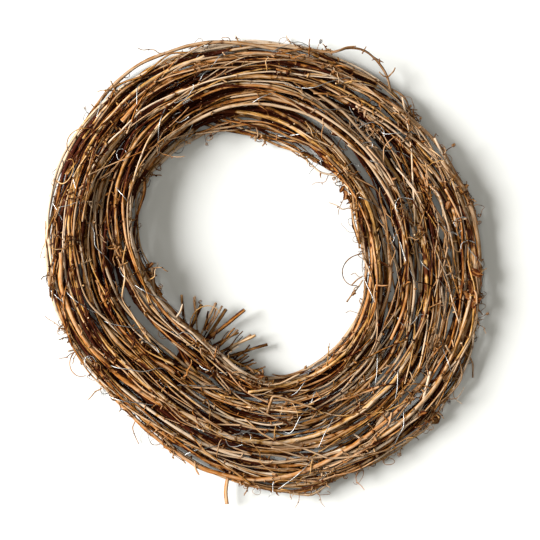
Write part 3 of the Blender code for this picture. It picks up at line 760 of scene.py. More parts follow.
class Hollows:
    # how high the coil is over each square and how far it reaches out and in at each height: how deep a place lies
    def __init__(self, strands):
        lines = [smoothPath(strand["points"] + shift, strand["bare"], 2.0 * mm) for strand in strands]
        places, sizes = (np.concatenate([line[n] for line in lines]) for n in (0, 2))
        self.height = np.zeros((2 * hollow["half"], 2 * hollow["half"]))
        np.maximum.at(self.height, self.cells(places), places[:, 2] + sizes)
        self.roof = widened(self.height, 1)
        self.shade = np.maximum(self.height, widened(self.height, 2) - hollow["deep"])
        self.outer = np.zeros((hollow["sectors"], hollow["layers"]))
        self.inner = np.ones_like(self.outer)
        away, slot = self.around(places)
        np.maximum.at(self.outer, slot, away + sizes)
        np.minimum.at(self.inner, slot, away - sizes)

    def around(self, points):
        # distance from the middle of the coil, and the sector and layer of the place
        x, y = points[..., 0] - shift[0], points[..., 1] - shift[1]
        sector = ((np.arctan2(y, x) / (2 * np.pi) + 0.5) * hollow["sectors"]).astype(int) % hollow["sectors"]
        layer = np.clip(points[..., 2] / hollow["layer"], 0, hollow["layers"] - 1).astype(int)
        return np.hypot(x, y), (sector, layer)

    def cells(self, points):
        spot = np.floor(points[..., :2] / hollow["cell"]).astype(int) + hollow["half"]
        spot = np.clip(spot, 0, 2 * hollow["half"] - 1)
        return spot[..., 0], spot[..., 1]

    def depth(self, points, size):
        # 0 at the top and sides of the coil, rising with the lesser of the distances to its top and its side, up to 1
        away, slot = self.around(points)
        sideways = np.minimum(self.outer[slot] - away, away - self.inner[slot]) - size
        under = np.minimum(self.shade[self.cells(points)] - points[:, 2] - size, hollow["sideRate"] * sideways)
        return np.clip((under - hollow["skin"]) / hollow["deep"], 0, 1)**hollow["power"]

    def top(self, x, y):
        # height of the coil near a point of the photo's frame
        i, j = self.cells(onFloor(x, y))
        return self.height[i - 1:i + 2, j - 1:j + 2].max()


hollows = Hollows(vines + singles + fineStems)

# painted shade and painted light along lanes: how much darker, half the width in mm, x and y in the photo's frame
paintedShadingLanes = [
    (0.36, 8, [(-172, 140), (-187, 100), (-191, 75), (-192, 45), (-187, 5), (-180, -35), (-165, -75), (-145, -102)]),
    (0.31, 10, [(-62, 163), (-97, 145), (-127, 110), (-142, 80), (-155, 45), (-162, 15), (-157, -30), (-142, -60),
                (-120, -90), (-102, -112)]),
    (0.31, 8, [(-62, 175), (-22, 185), (8, 190), (38, 185), (68, 173)]),
    (0.40, 6, [(153, 100), (163, 70), (170, 35), (170, 0), (165, -30)]),
    (0.22, 6, [(-42, -150), (-12, -160), (23, -165), (63, -165), (98, -145), (133, -115)]),
    (0.18, 6, [(138, 65), (145, 40), (143, 15)]),
    (0.25, 5, [(-217, 20), (-212, -15), (-205, -35)]),
    (-0.20, 7, [(-162, 95), (-172, 55), (-177, 10)]),
    (-0.20, 8, [(133, 170), (168, 125), (188, 65), (190, 5), (182, -55), (168, -110)]),
    (-0.22, 8, [(18, 162), (58, 170), (88, 140), (118, 110), (128, 80)]),
    (-0.14, 8, [(-60, -120), (-20, -145), (30, -150)]),
    (0.18, 24, [(-182, 115), (-150, 152), (-110, 178)]),
    (-0.20, 20, [(70, 170), (100, 150), (130, 120), (158, 88)]),
    (-0.09, 24, [(-80, -185), (0, -200), (70, -195)]),
    (0.17, 7, [(-137, 90), (-117, 115), (-92, 140), (-57, 156), (-22, 165)]),
    (0.13, 7, [(-187, 95), (-165, 135)]),
    (0.13, 8, [(-180, -35), (-163, -72), (-142, -105), (-117, -125)]),
    (0.08, 12, [(-150, -40), (-118, -85), (-77, -130)]),
    (0.17, 6, [(150, 112), (164, 70), (170, 30), (162, -40), (138, -100)]),
    (-0.12, 6, [(-180, 5), (-172, 40), (-160, 70), (-147, 100)]),
    (-0.16, 7, [(75, 167), (95, 145), (110, 122)]),
    (-0.12, 7, [(35, -115), (58, -106), (78, -90)]),
    (-0.12, 6, [(192, 28), (198, 0), (200, -28)]),
]


def layStrays(strands):
    # a stray starts over the top of a stem, turns with the coil and lies on whatever is highest under it
    rng = np.random.default_rng(runners["seed"] + 1)
    count = runners["strayPoints"]
    strays = []
    while len(strays) < runners["strays"]:
        points = strands[rng.integers(len(strands))]["points"]
        k = int(rng.integers(1, len(points) - 1))
        spot, step = points[k], points[k + 1] - points[k - 1]
        radius = rng.uniform(*runners["strayRadius"])
        if hollows.depth((spot + shift)[None], radius)[0] > 0:
            continue
        s = np.linspace(-0.5, 0.5, count) * rng.uniform(*runners["strayLength"])
        bend = np.sign(spot[0] * step[1] - spot[1] * step[0]) / np.hypot(*spot[:2])
        bend += runners["strayBend"] * rng.normal()
        heading = math.atan2(step[1], step[0]) + rng.choice((-1, 1)) * rng.uniform(*runners["strayAngle"]) + bend * s
        path = walk(heading, s[1] - s[0])
        path += spot[:2] - path[count // 2]
        z = hollows.roof[hollows.cells(path + shift[:2])]
        if z.min() < runners["strayLowest"]:
            continue
        for _ in range(3):
            z = np.concatenate([z[:1], 0.25 * z[:-2] + 0.5 * z[1:-1] + 0.25 * z[2:], z[-1:]])
        z[[0, -1]] -= rng.uniform(*runners["strayDip"], 2)
        line = np.column_stack([path, np.minimum(z + radius, runners["strayHighest"])])
        strays.append(fineStem(line, radius * np.linspace(1.1, 0.75, count),
                               np.arange(count) % 3 == int(rng.integers(3)), runners["strayTone"]))
    return strays


def paintedLaneShading(points):
    # painted shade and painted light: sum over the lanes of amount x exp(-(distance from the lane's line / width)^2)
    return sum(amount * np.exp(-(beside(points - shift, line)[0] / (width * mm))**2) for amount, width, line in paintedShadingLanes)


# the knob on one stem
burl = {
    "seed": 3,
    "rings": 26,
    "sides": 30,
    "lumps": 26,
    "lumpWidth": (0.02, 0.12),
    "lumpHeight": (-0.16, 0.26),
    "ripples": (19, 27),
    "rippleHeight": 0.03,
    "tone": 0.45,
}

triangles = []


class Bundle:
    # gathers tubes in one mesh: corners, faces, and the place in the grain and the look of each corner
    def __init__(self):
        self.corners, self.quads, self.tris, self.grain, self.look = [], [], [], [], []
        self.count = 0

    def gather(self, corners, grain, look, sides, turned=False):
        # a grid of rings, closed by two poles that stand last
        rows = (len(corners) - 2) // sides
        k, j = np.meshgrid(np.arange(rows - 1), np.arange(sides), indexing="ij")
        after = (j + 1) % sides
        quads = np.stack([k * sides + j, k * sides + after, (k + 1) * sides + after, (k + 1) * sides + j], 2)
        j, after, end = np.arange(sides), after[0], (rows - 1) * sides
        tris = np.concatenate([np.stack([np.full(sides, end + sides), after, j], 1),
                               np.stack([np.full(sides, end + sides + 1), end + j, end + after], 1)])
        if turned:
            quads, tris = quads[..., [0, 3, 2, 1]], tris[:, [0, 2, 1]]
        self.quads.append(quads.reshape(-1, 4) + self.count)
        self.tris.append(tris + self.count)
        self.corners.append(corners)
        self.grain.append(grain)
        self.look.append(look)
        self.count += len(corners)

    def tube(self, place, size, at, normal, sides, tone, ridges=None, joint=None, flat=1.0, offset=0.0, cut=1.0):
        # rings of radius size x (1 + ridges) round each place; each end narrows to a pole
        n, dome = len(place), surface["dome"]
        along = unit(np.gradient(place, at, axis=0))
        up = normal - along * (along @ normal)[:, None]
        up /= np.maximum(np.linalg.norm(up, axis=1), 1e-9)[:, None]
        side = np.cross(along, up)
        row = np.concatenate([[0, 0], np.arange(n), [n - 1, n - 1]])
        shrink = np.concatenate([[0.5, 0.9], np.ones(n), [0.9, 0.5]])
        stick = np.concatenate([[-dome, -0.7 * dome], np.zeros(n), [0.7 * dome, dome]]) * size[row]
        theta = 2 * np.pi * np.arange(sides) / sides
        spread = size[row, None] * shrink[:, None] * np.ones(sides)
        if ridges is not None:
            spread = spread * (1 + ridges[row])
        x, y = spread * np.cos(theta), spread * np.sin(theta)
        ring = up[row, None, :] * (flat * x)[..., None] + side[row, None, :] * y[..., None]
        corners = (place[row] + along[row] * stick[:, None])[:, None, :] + ring
        poles = place[[0, -1]] + along[[0, -1]] * 1.15 * dome * (size[[0, -1]] * (-1, 1))[:, None]
        s = at[row] + offset
        grain = np.stack([x, y, np.broadcast_to(s[:, None], x.shape)], 2).reshape(-1, 3)
        joint = np.zeros(n) if joint is None else joint
        ends = np.concatenate([[cut, cut], np.zeros(n), [cut, cut]])
        # painted shade: darker the deeper the place lies in the coil; painted shade and painted light along the lanes
        tone = tone - surface["paintedShade"] * hollows.depth(place, size) - paintedLaneShading(place)
        look = np.repeat(np.stack([tone[row], joint[row], ends], 1), sides, axis=0)
        facing = ring[..., 2] / np.maximum(np.linalg.norm(ring, axis=2), 1e-9)
        # painted highlight and shade: corners facing up lighter, corners facing sideways or down darker
        look[:, 0] += surface["paintedLightByFacing"] * (facing.ravel() - 0.46)
        corners = np.concatenate([corners.reshape(-1, 3), poles])
        grain = np.concatenate([grain, [[0, 0, s[0]], [0, 0, s[-1]]]])
        look = np.concatenate([look, [[tone[0], 0, cut], [tone[-1], 0, cut]]])
        self.gather(corners, grain, look, sides)

    def ball(self, middle, reach):
        # a knobby ball: radius x (0.9 + sum of height x exp(-(1 - cos of the angle to a lump) / width) + ripples)
        rng = np.random.default_rng(burl["seed"])
        rings, sides, count = burl["rings"], burl["sides"], burl["lumps"]
        phi = np.pi * (np.arange(rings) + 1) / (rings + 1)
        theta = 2 * np.pi * np.arange(sides) / sides
        ray = np.stack([np.sin(phi)[:, None] * np.cos(theta), np.sin(phi)[:, None] * np.sin(theta),
                        np.broadcast_to(np.cos(phi)[:, None], (rings, sides))], 2).reshape(-1, 3)
        ray = np.concatenate([ray, [[0, 0, 1.0], [0, 0, -1.0]]])
        lumps = unit(rng.normal(size=(count, 3)))
        steep = np.exp(-((1 - ray @ lumps.T) / rng.uniform(*burl["lumpWidth"], count)))
        height = (steep * rng.uniform(*burl["lumpHeight"], count)).sum(1)
        for rate in burl["ripples"]:
            height += burl["rippleHeight"] * np.sin(ray @ rng.normal(size=3) * rate)
        corners = middle + ray * (reach * (0.90 + height))[:, None]
        look = np.stack([np.full(len(ray), burl["tone"]), 0.55 + 2.0 * height, np.zeros(len(ray))], 1)
        self.gather(corners, ray * reach * (1, 1, 3) + (0, 0, 7.7), look, sides, turned=True)

    def piece(self, name, material, slot, nodes=()):
        # the gathered surfaces as one object, nothing of it under the floor
        corners = np.concatenate(self.corners)
        corners[:, 2] = np.maximum(corners[:, 2], 0.0)
        quads, tris = np.concatenate(self.quads), np.concatenate(self.tris)
        triangles.append((2 * len(quads) + len(tris), name))
        mesh = bpy.data.meshes.new(name)
        mesh.vertices.add(len(corners))
        mesh.vertices.foreach_set("co", corners.astype(np.float32).ravel())
        mesh.loops.add(quads.size + tris.size)
        mesh.loops.foreach_set("vertex_index", np.concatenate([quads.ravel(), tris.ravel()]).astype(np.int32))
        mesh.polygons.add(len(quads) + len(tris))
        starts = np.concatenate([4 * np.arange(len(quads)), quads.size + 3 * np.arange(len(tris))])
        mesh.polygons.foreach_set("loop_start", starts.astype(np.int32))
        mesh.polygons.foreach_set("use_smooth", np.ones(len(starts), bool))
        for key, values in (("grain", self.grain), ("look", self.look)):
            attribute = mesh.attributes.new(key, "FLOAT_VECTOR", "POINT")
            attribute.data.foreach_set("vector", np.concatenate(values).astype(np.float32).ravel())
        mesh.update(calc_edges=True)
        mesh.validate()
        mesh.materials.append(material)
        piece = bpy.data.objects.new(name, mesh)
        bpy.context.scene.collection.objects.link(piece)
        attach(piece, "root")
        if nodes:
            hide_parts(*nodes)


class Value:
    # one output of a shader node; sums and products of values add Math nodes
    def __init__(self, finish, socket):
        self.finish, self.socket = finish, socket

    def maths(self, operation, a, b):
        return self.finish.node("ShaderNodeMath", {"operation": operation}, {0: a, 1: b})

    __add__ = __radd__ = lambda self, other: self.maths("ADD", self, other)
    __mul__ = __rmul__ = lambda self, other: self.maths("MULTIPLY", self, other)
    __sub__ = lambda self, other: self.maths("SUBTRACT", self, other)
    __rsub__ = lambda self, other: self.maths("SUBTRACT", other, self)


class Finish:
    # one material; node() makes every node of it but the shader
    def __init__(self, name):
        self.material = bpy.data.materials.new(name)
        self.material.use_nodes = True
        self.tree = self.material.node_tree
        self.shader = self.tree.nodes["Principled BSDF"]

    def node(self, kind, settings=None, sockets=None, out=0):
        node = self.tree.nodes.new(kind)
        for key, value in (settings or {}).items():
            if key == "stops":
                ramp = node.color_ramp
                while len(ramp.elements) < len(value):
                    ramp.elements.new(0.5)
                for element, (place, colour) in zip(ramp.elements, value):
                    element.position = place
                    element.color = (*colour, 1)
            else:
                setattr(node, key, value)
        for key, value in (sockets or {}).items():
            self.feed(node.inputs[key], value)
        return Value(self, node.outputs[out])

    def feed(self, socket, value):
        if isinstance(value, Value):
            self.tree.links.new(value.socket, socket)
        elif isinstance(value, tuple) and len(value) == 3 and socket.type == "RGBA":
            socket.default_value = (*value, 1)
        else:
            socket.default_value = value

    def set(self, **values):
        for key, value in values.items():
            self.feed(self.shader.inputs[key.replace("_", " ")], value)

    def attribute(self, name):
        return self.node("ShaderNodeAttribute", {"attribute_name": name}, out="Vector")

    def split(self, vector):
        node = self.tree.nodes.new("ShaderNodeSeparateXYZ")
        self.feed(node.inputs[0], vector)
        return [Value(self, node.outputs[i]) for i in range(3)]

    def stretched(self, vector, scale, detail=2.0, roughness=0.55):
        # noise on the vector times a scale of its own for each axis, between 0 and 1
        scaled = self.node("ShaderNodeVectorMath", {"operation": "MULTIPLY"}, {0: vector, 1: scale})
        return self.node("ShaderNodeTexNoise", {}, {"Vector": scaled, "Scale": 1.0, "Detail": detail,
                                                    "Roughness": roughness})

    def mix(self, factor, a, b):
        # from a to b by the factor
        return self.node("ShaderNodeMix", {"data_type": "RGBA", "clamp_factor": True}, {0: factor, 6: a, 7: b}, out=2)

    def ramp(self, value, stops):
        return self.node("ShaderNodeValToRGB", {"stops": stops}, {0: value})


# four barks: colours from crevice to worn ridge; painted shade reads the dark end, painted highlight the light end
barks = {
    "bark_brown": ((0.030, 0.005, 0.001), (0.280, 0.119, 0.020), (0.395, 0.278, 0.178)),
    "bark_tan": ((0.052, 0.011, 0.002), (0.400, 0.202, 0.045), (0.495, 0.372, 0.262)),
    "bark_dark": ((0.018, 0.003, 0.001), (0.205, 0.081, 0.012), (0.33, 0.220, 0.132)),
    "bark_red": ((0.034, 0.005, 0.001), (0.310, 0.112, 0.017), (0.41, 0.255, 0.142)),
    "stops": (0.20, 0.48, 0.94),
    "jointColour": (0.062, 0.014, 0.003),
    "cutColour": ((0.30, 0.175, 0.085), (0.66, 0.48, 0.29)),
    # noises: scale across, across and along the stem, detail and roughness
    "fibre": ((2300, 2300, 90), 3.0, 0.6),
    "strip": ((560, 560, 24), 2.0, 0.55),
    "patch": ((90, 90, 13), 2.0, 0.55),
    "mottle": ((430, 430, 150), 2.0, 0.55),
    "fleck": ((700, 700, 330), 1.0, 0.55),
    # how much fibre, strip, patch, tone and mottle move the colour
    "amounts": (1.3, 1.3, 1.0, 1.0, 0.8),
    "flecks": (9.0, 0.66),
    "bump": 0.5,
}


def barkFinish(slot):
    # a ramp from crevice to ridge, read at 0.5 + the sum of amount x (noise or tone - 0.5), redder at joints, flecked
    finish = Finish(slot)
    dark, middle, light = barks[slot]
    grain = finish.attribute("grain")
    # the look's first value is the stem's tone with the painted shade and painted highlight added to it
    tone, joint, cut = finish.split(finish.attribute("look"))
    fibre, strip, patch, mottle, fleck = (finish.stretched(grain, *barks[noise]) for noise in
                                          ("fibre", "strip", "patch", "mottle", "fleck"))
    shade = 0.5
    for part, amount in zip((fibre, strip, patch, tone, mottle), barks["amounts"]):
        shade = shade + amount * (part - 0.5)
    colour = finish.ramp(shade, list(zip(barks["stops"], (dark, middle, light))))
    redder = finish.mix(joint * (0.50 + 0.7 * strip), colour, barks["jointColour"])
    steep, edge = barks["flecks"]
    flecked = finish.node("ShaderNodeMath", {"operation": "SMOOTH_MIN"}, {0: 1.0, 1: steep * (fleck - edge), 2: 0.1})
    flecked = finish.node("ShaderNodeMath", {"operation": "MAXIMUM"}, {0: flecked, 1: 0.0})
    spotted = finish.mix(0.5 * flecked, redder, light)
    wood = finish.ramp(fibre, [(0.30, barks["cutColour"][0]), (0.65, barks["cutColour"][1])])
    finish.set(Specular_IOR_Level=0.05, Base_Color=finish.mix(cut, spotted, wood),
               Roughness=0.50 + 0.35 * (1.0 - strip) + 0.1 * joint,
               Normal=finish.node("ShaderNodeBump", {}, {"Strength": barks["bump"], "Distance": 0.6 * mm,
                                                         "Height": 0.6 * fibre + 0.8 * strip}))
    return finish.material


zinc = {
    "clouds": (260, 260, 260),
    "spangles": (1800, 1800, 1800),
    "colours": [(0.25, (0.20, 0.195, 0.18)), (0.60, (0.46, 0.46, 0.45))],
}


def wireFinish():
    # dull zinc: clouds and spangles move the colour, clouds the roughness
    finish = Finish("wire_steel")
    place = finish.node("ShaderNodeTexCoord", out="Object")
    cloud = finish.stretched(place, zinc["clouds"], 3.0)
    spangle = finish.stretched(place, zinc["spangles"], 2.0)
    shade = 0.5 + 1.3 * (cloud - 0.5) + 0.9 * (spangle - 0.5)
    finish.set(Base_Color=finish.ramp(shade, zinc["colours"]),
               Metallic=1.0, Roughness=0.30 + 0.25 * cloud,
               Normal=finish.node("ShaderNodeBump", {}, {"Strength": 0.15, "Distance": 0.2 * mm, "Height": spangle}))
    return finish.material


slots = ["bark_brown", "bark_tan", "bark_dark", "bark_red"]
barkMaterials = {slot: barkFinish(slot) for slot in slots}
wireMaterial = wireFinish()

# place, direction, radius and bark of each joint
jointRows = []


def addStem(bundle, strand, rng, spacing, sides, tone, kind, darkTip=0.0, crook=1.0):
    # a long stem: its line is shaken by slow waves and a zigzag from joint to joint; radius x (1 + a cosine for each
    # number of lobes, its phase drifting along the stem, + a collar exp(-(distance / width)^2) at each joint)
    knots = np.nonzero(strand["joint"])[0].astype(float)
    between = (knots[:-1] + knots[1:]) / 2 + rng.uniform(-0.3, 0.3, max(len(knots) - 1, 0))
    knots = np.sort(np.concatenate([knots, between[rng.random(len(between)) < surface["jointsBetween"]]]))
    knots = knots[(knots > 0.3) & (knots < len(strand["points"]) - 1.3)]
    bare = strand["bare"] * surface["fullness"]
    place, at, size, joints = smoothPath(strand["points"] + shift, bare, spacing, knots)
    normal = planeNormal(strand["points"])
    fade = np.minimum(1.0, np.minimum(at, at[-1] - at) / surface["straightEnd"])
    across = np.cross(np.gradient(place, at, axis=0), normal)
    for way, share in ((across, 1.0), (normal, 0.5)):
        place = place + way * (share * surface["waviness"] * fade * waves(rng, at, *surface["waveLengths"]))[:, None]
    bends = np.concatenate([[0], joints, [at[-1]]])
    zigzag = rng.normal(size=(2, len(bends))) * crook * surface["kink"] * np.array([[1.0], [0.6]])
    zigzag[:, [0, -1]] = 0
    for way, offset in ((across, zigzag[0]), (normal, zigzag[1])):
        place = place + way * np.interp(at, bends, offset)[:, None]
    theta = 2 * np.pi * np.arange(sides) / sides
    ridges = np.zeros((len(at), sides))
    for lobes, share in surface["lobes"]:
        drift = rng.uniform(0, 6.28) + surface["lobeWander"] * waves(rng, at, *surface["lobeWaves"], 2)
        drift += either(rng, surface["lobeTwist"]) * at
        ridges += surface["ridges"] * share * np.cos(lobes * theta + drift[:, None])
    collar = np.zeros(len(at))
    if len(joints):
        count = len(joints)
        away = (at[:, None] - joints[None]) / (surface["jointWidth"] * rng.uniform(*surface["collarWidth"], count))
        collar = (np.exp(-away**2) * rng.uniform(*surface["collarHeight"], count)).max(1)
        nearest = np.abs(away).argmin(1)
        lean = rng.uniform(*surface["collarLean"], count)[nearest]
        turn = rng.uniform(0, 6.28, count)[nearest]
        ridges += (surface["jointSwell"] * collar * lean)[:, None] * (0.75 + 0.6 * np.cos(theta - turn[:, None]))
    size = size * (1 + surface["girth"] * waves(rng, at, *surface["girthWaves"]))
    tone = tone - darkTip * np.exp(-(at / surface["darkLength"])**4)
    bundle.tube(place, size, at, normal, sides, tone, ridges, collar, offset=rng.uniform(0, surface["grainApart"]))
    if len(joints):
        row = np.searchsorted(at, joints)
        step = unit(np.gradient(place, at, axis=0)[row])
        jointRows.append(np.column_stack([place[row], step, size[row], np.full(len(row), kind)]))


def addTwig(bundle, points, radius, rng, sides, spacing, tone, flare=0.5, tip=1.0, normal=None):
    # a side shoot: radius x (1 + flare x exp(-distance / length)), oval in section, darkest where it leaves its stem
    place, at, size, _ = smoothPath(points, radius, spacing)
    size = size * (1 + flare * np.exp(-at / surface["flareLength"]))
    if normal is None:
        normal = planeNormal(points)
    tone = tone + surface["twigTone"] * rng.normal()
    theta = 2 * np.pi * np.arange(sides) / sides
    ridges = surface["twigOval"] * np.cos(2 * theta + 3 * waves(rng, at, 0.02, 0.008, 2)[:, None])
    most, length = surface["rootJoint"]
    joint = most * np.exp(-at / length)
    bundle.tube(place, size, at, normal, sides, tone, ridges, joint, offset=rng.uniform(0, surface["grainApart"]),
                cut=tip)


def addWire(bundle, points, radius, spacing, normal):
    # a plain round tube along the points
    place, at, size, _ = smoothPath(points, np.full(len(points), radius), spacing)
    bundle.tube(place, size, at, normal, 7, 0.5, cut=0.0)


strays = layStrays(vines + fineStems)
clearGaps(strays)
fineStems += strays
allStems = vines + singles
for k, vine in enumerate(allStems):
    rng = np.random.default_rng(500 + k)
    bundle = Bundle()
    tone = 0.5 + surface["toneSpread"] * rng.normal()
    darkTip = surface["darkTip"] * (k < len(coil["fan"]))
    addStem(bundle, vine, rng, surface["ringSpacing"], surface["sides"], tone, k % 4, darkTip)
    for twig in twigs:
        if twig["vine"] == k:
            sides, spacing, flare = surface["tendril" if twig["curled"] else "spur"]
            addTwig(bundle, twig["points"] + shift, twig["radius"], rng, sides, spacing,
                    tone - surface["tendrilDarker"] * twig["curled"], flare)
    if k == burlVine:
        bundle.ball(burlMiddle + shift, coil["burlRadius"])
    bundle.piece(vine["name"] + "_bark", barkMaterials[slots[k % 4]], slots[k % 4], [vine["name"]])
print("stems covered with bark:", len(allStems))

for k, wire in enumerate(wires):
    bundle = Bundle()
    addWire(bundle, wire["points"] + shift, 0.93 * coil["wireRadius"], 1.8 * mm, np.array([0.31, 0.17, 0.94]))
    bundle.piece("binding_" + wire["name"], wireMaterial, "wire_steel", [wire["name"]])
print("binding wires:", len(wires))

for k, slot in enumerate(slots):
    bundle = Bundle()
    for n, strand in enumerate(fineStems):
        if n % 4 == k:
            rng = np.random.default_rng(900 + n)
            tone = 0.5 + strand["tone"] + runners["toneSpread"] * rng.normal()
            addStem(bundle, strand, rng, runners["ringSpacing"], runners["sides"], tone, k, crook=runners["crook"])
    bundle.piece("fine_stems_" + slot[5:], barkMaterials[slot], slot)
print("fine stems covered with bark")


# what grows on the stems: curled tendrils, side twigs, buds and loose strips of bark
growth = {
    "seed": 31,
    "hostStep": 3 * mm,
    "sectors": 72,
    "rim": 6 * mm,
    # how strongly growth on the rims points away from the coil's middle and towards it
    "pull": (1.3, 1.0),
    "curls": 150,
    "curlLength": (8 * mm, 30 * mm),
    "curlRadius": (0.24 * mm, 0.42 * mm),
    "curlLean": 0.9,
    "curlTurn": (1.5, 9.5),
    "curlRise": 4 * mm,
    "springs": 26,
    "springTurns": (1.5, 4.5),
    "springRadius": (1.0 * mm, 2.0 * mm),
    "springPitch": (0.9 * mm, 2.0 * mm),
    "stalkLength": (4 * mm, 12 * mm),
    "tendrilTone": 0.25,
    "twigs": 200,
    "twigLength": (7 * mm, 32 * mm),
    "twigRadius": (0.36 * mm, 0.75 * mm),
    "stubs": 620,
    "stubLength": (2.0 * mm, 6.5 * mm),
    "stubRadius": (0.40 * mm, 0.85 * mm),
    "buds": 260,
    "budLength": (1.6 * mm, 5.0 * mm),
    "budRadius": (0.55 * mm, 1.25 * mm),
    "budShape": (1.15, 1.25, 0.9, 0.35),
    "stubShape": (1.2, 0.9, 0.85, 0.9),
    "shreds": 330,
    "shredLength": (9 * mm, 52 * mm),
    "shredRadius": (0.45 * mm, 1.25 * mm),
    "shredStand": (4.0 * mm, 2.0 * mm),
    "overhang": 6 * mm,
    "lowest": 0.6 * mm,
    "highest": 50 * mm,
}


def leave(rng, place, along, size, pull=0.0):
    # a root inside a stem and a direction out of it, drawn away from the middle of the coil by pull
    out = rng.normal(size=3) * (1, 1, 0.5) + (0, 0, 0.4) + pull * place * (1, 1, 0) / np.linalg.norm(place[:2])
    out = unit(out - along * (out @ along))
    return place + out * 0.5 * size, out, along


class Hosts:
    # places on all stems where something can grow
    def __init__(self, strands):
        rows = []
        for k, strand in enumerate(strands):
            place, at, size, _ = smoothPath(strand["points"] + shift, strand["bare"], growth["hostStep"])
            rows.append(np.column_stack([place, unit(np.gradient(place, at, axis=0)), size, np.full(len(at), k)]))
        rows = np.concatenate(rows)
        self.place, self.along, self.size, self.owner = rows[:, :3], rows[:, 3:6], rows[:, 6], rows[:, 7]
        self.open = hollows.depth(self.place, self.size) == 0
        away = np.linalg.norm(self.place[:, :2] - shift[:2], axis=1)
        count = growth["sectors"]
        sector = np.arctan2(self.place[:, 1], self.place[:, 0]) + np.pi
        sector = (sector / (2 * np.pi) * count).astype(int) % count
        outer, inner = np.zeros(count), np.ones(count)
        np.maximum.at(outer, sector, away)
        np.minimum.at(inner, sector, away)
        self.outside, self.inside = away > outer[sector] - growth["rim"], away < inner[sector] + growth["rim"]

    def sprout(self, rng, where):
        # the number of a host, then a root on it, the direction out of it and the direction along it
        n = int(rng.choice(where))
        outwards, inwards = growth["pull"]
        pull = outwards * self.outside[n] - inwards * self.inside[n]
        return n, *leave(rng, self.place[n], self.along[n] * rng.choice((-1, 1)), self.size[n], pull)

    def near(self, x, y, reach):
        # how far the hosts are from a point of the photo's frame, and the open ones within reach
        away = np.linalg.norm(self.place[:, :2] - onFloor(x, y), axis=1)
        return away, np.nonzero((away < reach) & self.open)[0]


def fits(points):
    # whether a line stays over the floor and close round the coil
    low, high = (np.array(corner[:2]) for corner in cadBox)
    past = np.maximum(low - points[:, :2], points[:, :2] - high).max()
    z = points[:, 2]
    return past < growth["overhang"] and z.min() > growth["lowest"] and z.max() < growth["highest"]


def springLine(start, axis, across, turns, reach, pitch):
    # a helix that begins at start and widens within its first turn to its reach
    t = np.linspace(0, turns, int(13 * turns) + 4)
    other = np.cross(axis, across)
    wide = reach * (0.45 + 0.55 * np.minimum(1.0, t))
    line = axis * (pitch * t)[:, None] + across * (wide * np.cos(2 * np.pi * t))[:, None]
    line = line + other * (wide * np.sin(2 * np.pi * t))[:, None]
    return start + line - line[0]


hosts = Hosts(allStems + fineStems)
everywhere = np.nonzero(hosts.open | hosts.outside | hosts.inside)[0]
edges = np.nonzero(hosts.outside | hosts.inside)[0]
rng = np.random.default_rng(growth["seed"])
thin, woody, scraps = Bundle(), {slot: Bundle() for slot in slots}, {slot: Bundle() for slot in slots}


def growCurl(rng, bundle, root, out, along, length, radius):
    # a curl in one plane that rises or sinks with the square of its length, shaken by three sines that grow along it
    steps = int(14 + length / (2.0 * mm))
    spin = rng.choice((-1, 1)) * rng.uniform(*growth["curlTurn"])
    points = twigLine(root, out, along, length, either(rng, growth["curlLean"]), spin, steps)
    t = np.linspace(0, 1, steps + 1)
    points[:, 2] += either(rng, growth["curlRise"]) * t**2
    for _ in range(3):
        way = rng.normal(size=3) * 0.045 * length
        points = points + way * (t * np.sin(rng.uniform(5, 14) * t + rng.uniform(0, 6)))[:, None]
    if not fits(points):
        return False
    addTwig(bundle, points, radius * np.linspace(1.15, 0.6, steps + 1), rng, 6, 1.5 * mm, growth["tendrilTone"],
            flare=0.4, tip=0.0)
    return True


def growSpring(rng, bundle, root, out, along):
    # a stalk and a helix on its end
    stalk = twigLine(root, out, along, rng.uniform(*growth["stalkLength"]), either(rng, 0.6), either(rng, 0.8), 6)
    axis = unit(stalk[-1] - stalk[-2])
    across = unit(np.cross(axis, rng.normal(size=3)))
    spring = springLine(stalk[-1], axis, across, rng.uniform(*growth["springTurns"]),
                        rng.uniform(*growth["springRadius"]), rng.uniform(*growth["springPitch"]))
    if not fits(stalk) or not fits(spring):
        return False
    radius, tone = rng.uniform(*growth["curlRadius"]), growth["tendrilTone"]
    addTwig(bundle, stalk, np.full(len(stalk), radius), rng, 6, 1.5 * mm, tone, flare=0.4, tip=0.0)
    addTwig(bundle, spring, np.linspace(radius, 0.7 * radius, len(spring)), rng, 6, 0.9 * mm, tone, flare=0.0,
            tip=0.0, normal=axis)
    return True


def growTwig(rng, bundle, root, out, along, length, radius):
    # a side twig with a bend half way and a bud on the outside of the bend
    points = twigLine(root, out, along, length, either(rng, 1.3), either(rng, 1.0), 5)
    points[2:] += rng.normal(size=3) * 0.09 * length
    points[4:] += rng.normal(size=3) * 0.07 * length
    if not fits(points):
        return False
    addTwig(bundle, points, radius * np.linspace(1.1, 0.65, 6), rng, 7, 2.0 * mm, 0.45, flare=0.5)
    side = unit(np.cross(points[3] - points[2], rng.normal(size=3)))
    addTwig(bundle, points[3] + side * np.linspace(0, 2.2 * mm, 3)[:, None], radius * np.array([1.1, 1.2, 0.5]),
            rng, 6, 0.8 * mm, 0.35, flare=0.2, tip=0.0)
    return True


def growBud(rng, bundle, root, out, along, length, radius):
    # a stub, thick in the middle like a bud or blunt like a cut leaf stalk
    points = twigLine(root, out, along, length, either(rng, 0.8), either(rng, 0.9), 3)
    if not fits(points):
        return False
    bud = rng.random() < 0.6
    shape = np.array(growth["budShape" if bud else "stubShape"])
    addTwig(bundle, points, radius * shape, rng, 6, 0.9 * mm, 0.35, flare=0.25, tip=0.0 if bud else 0.4)
    return True


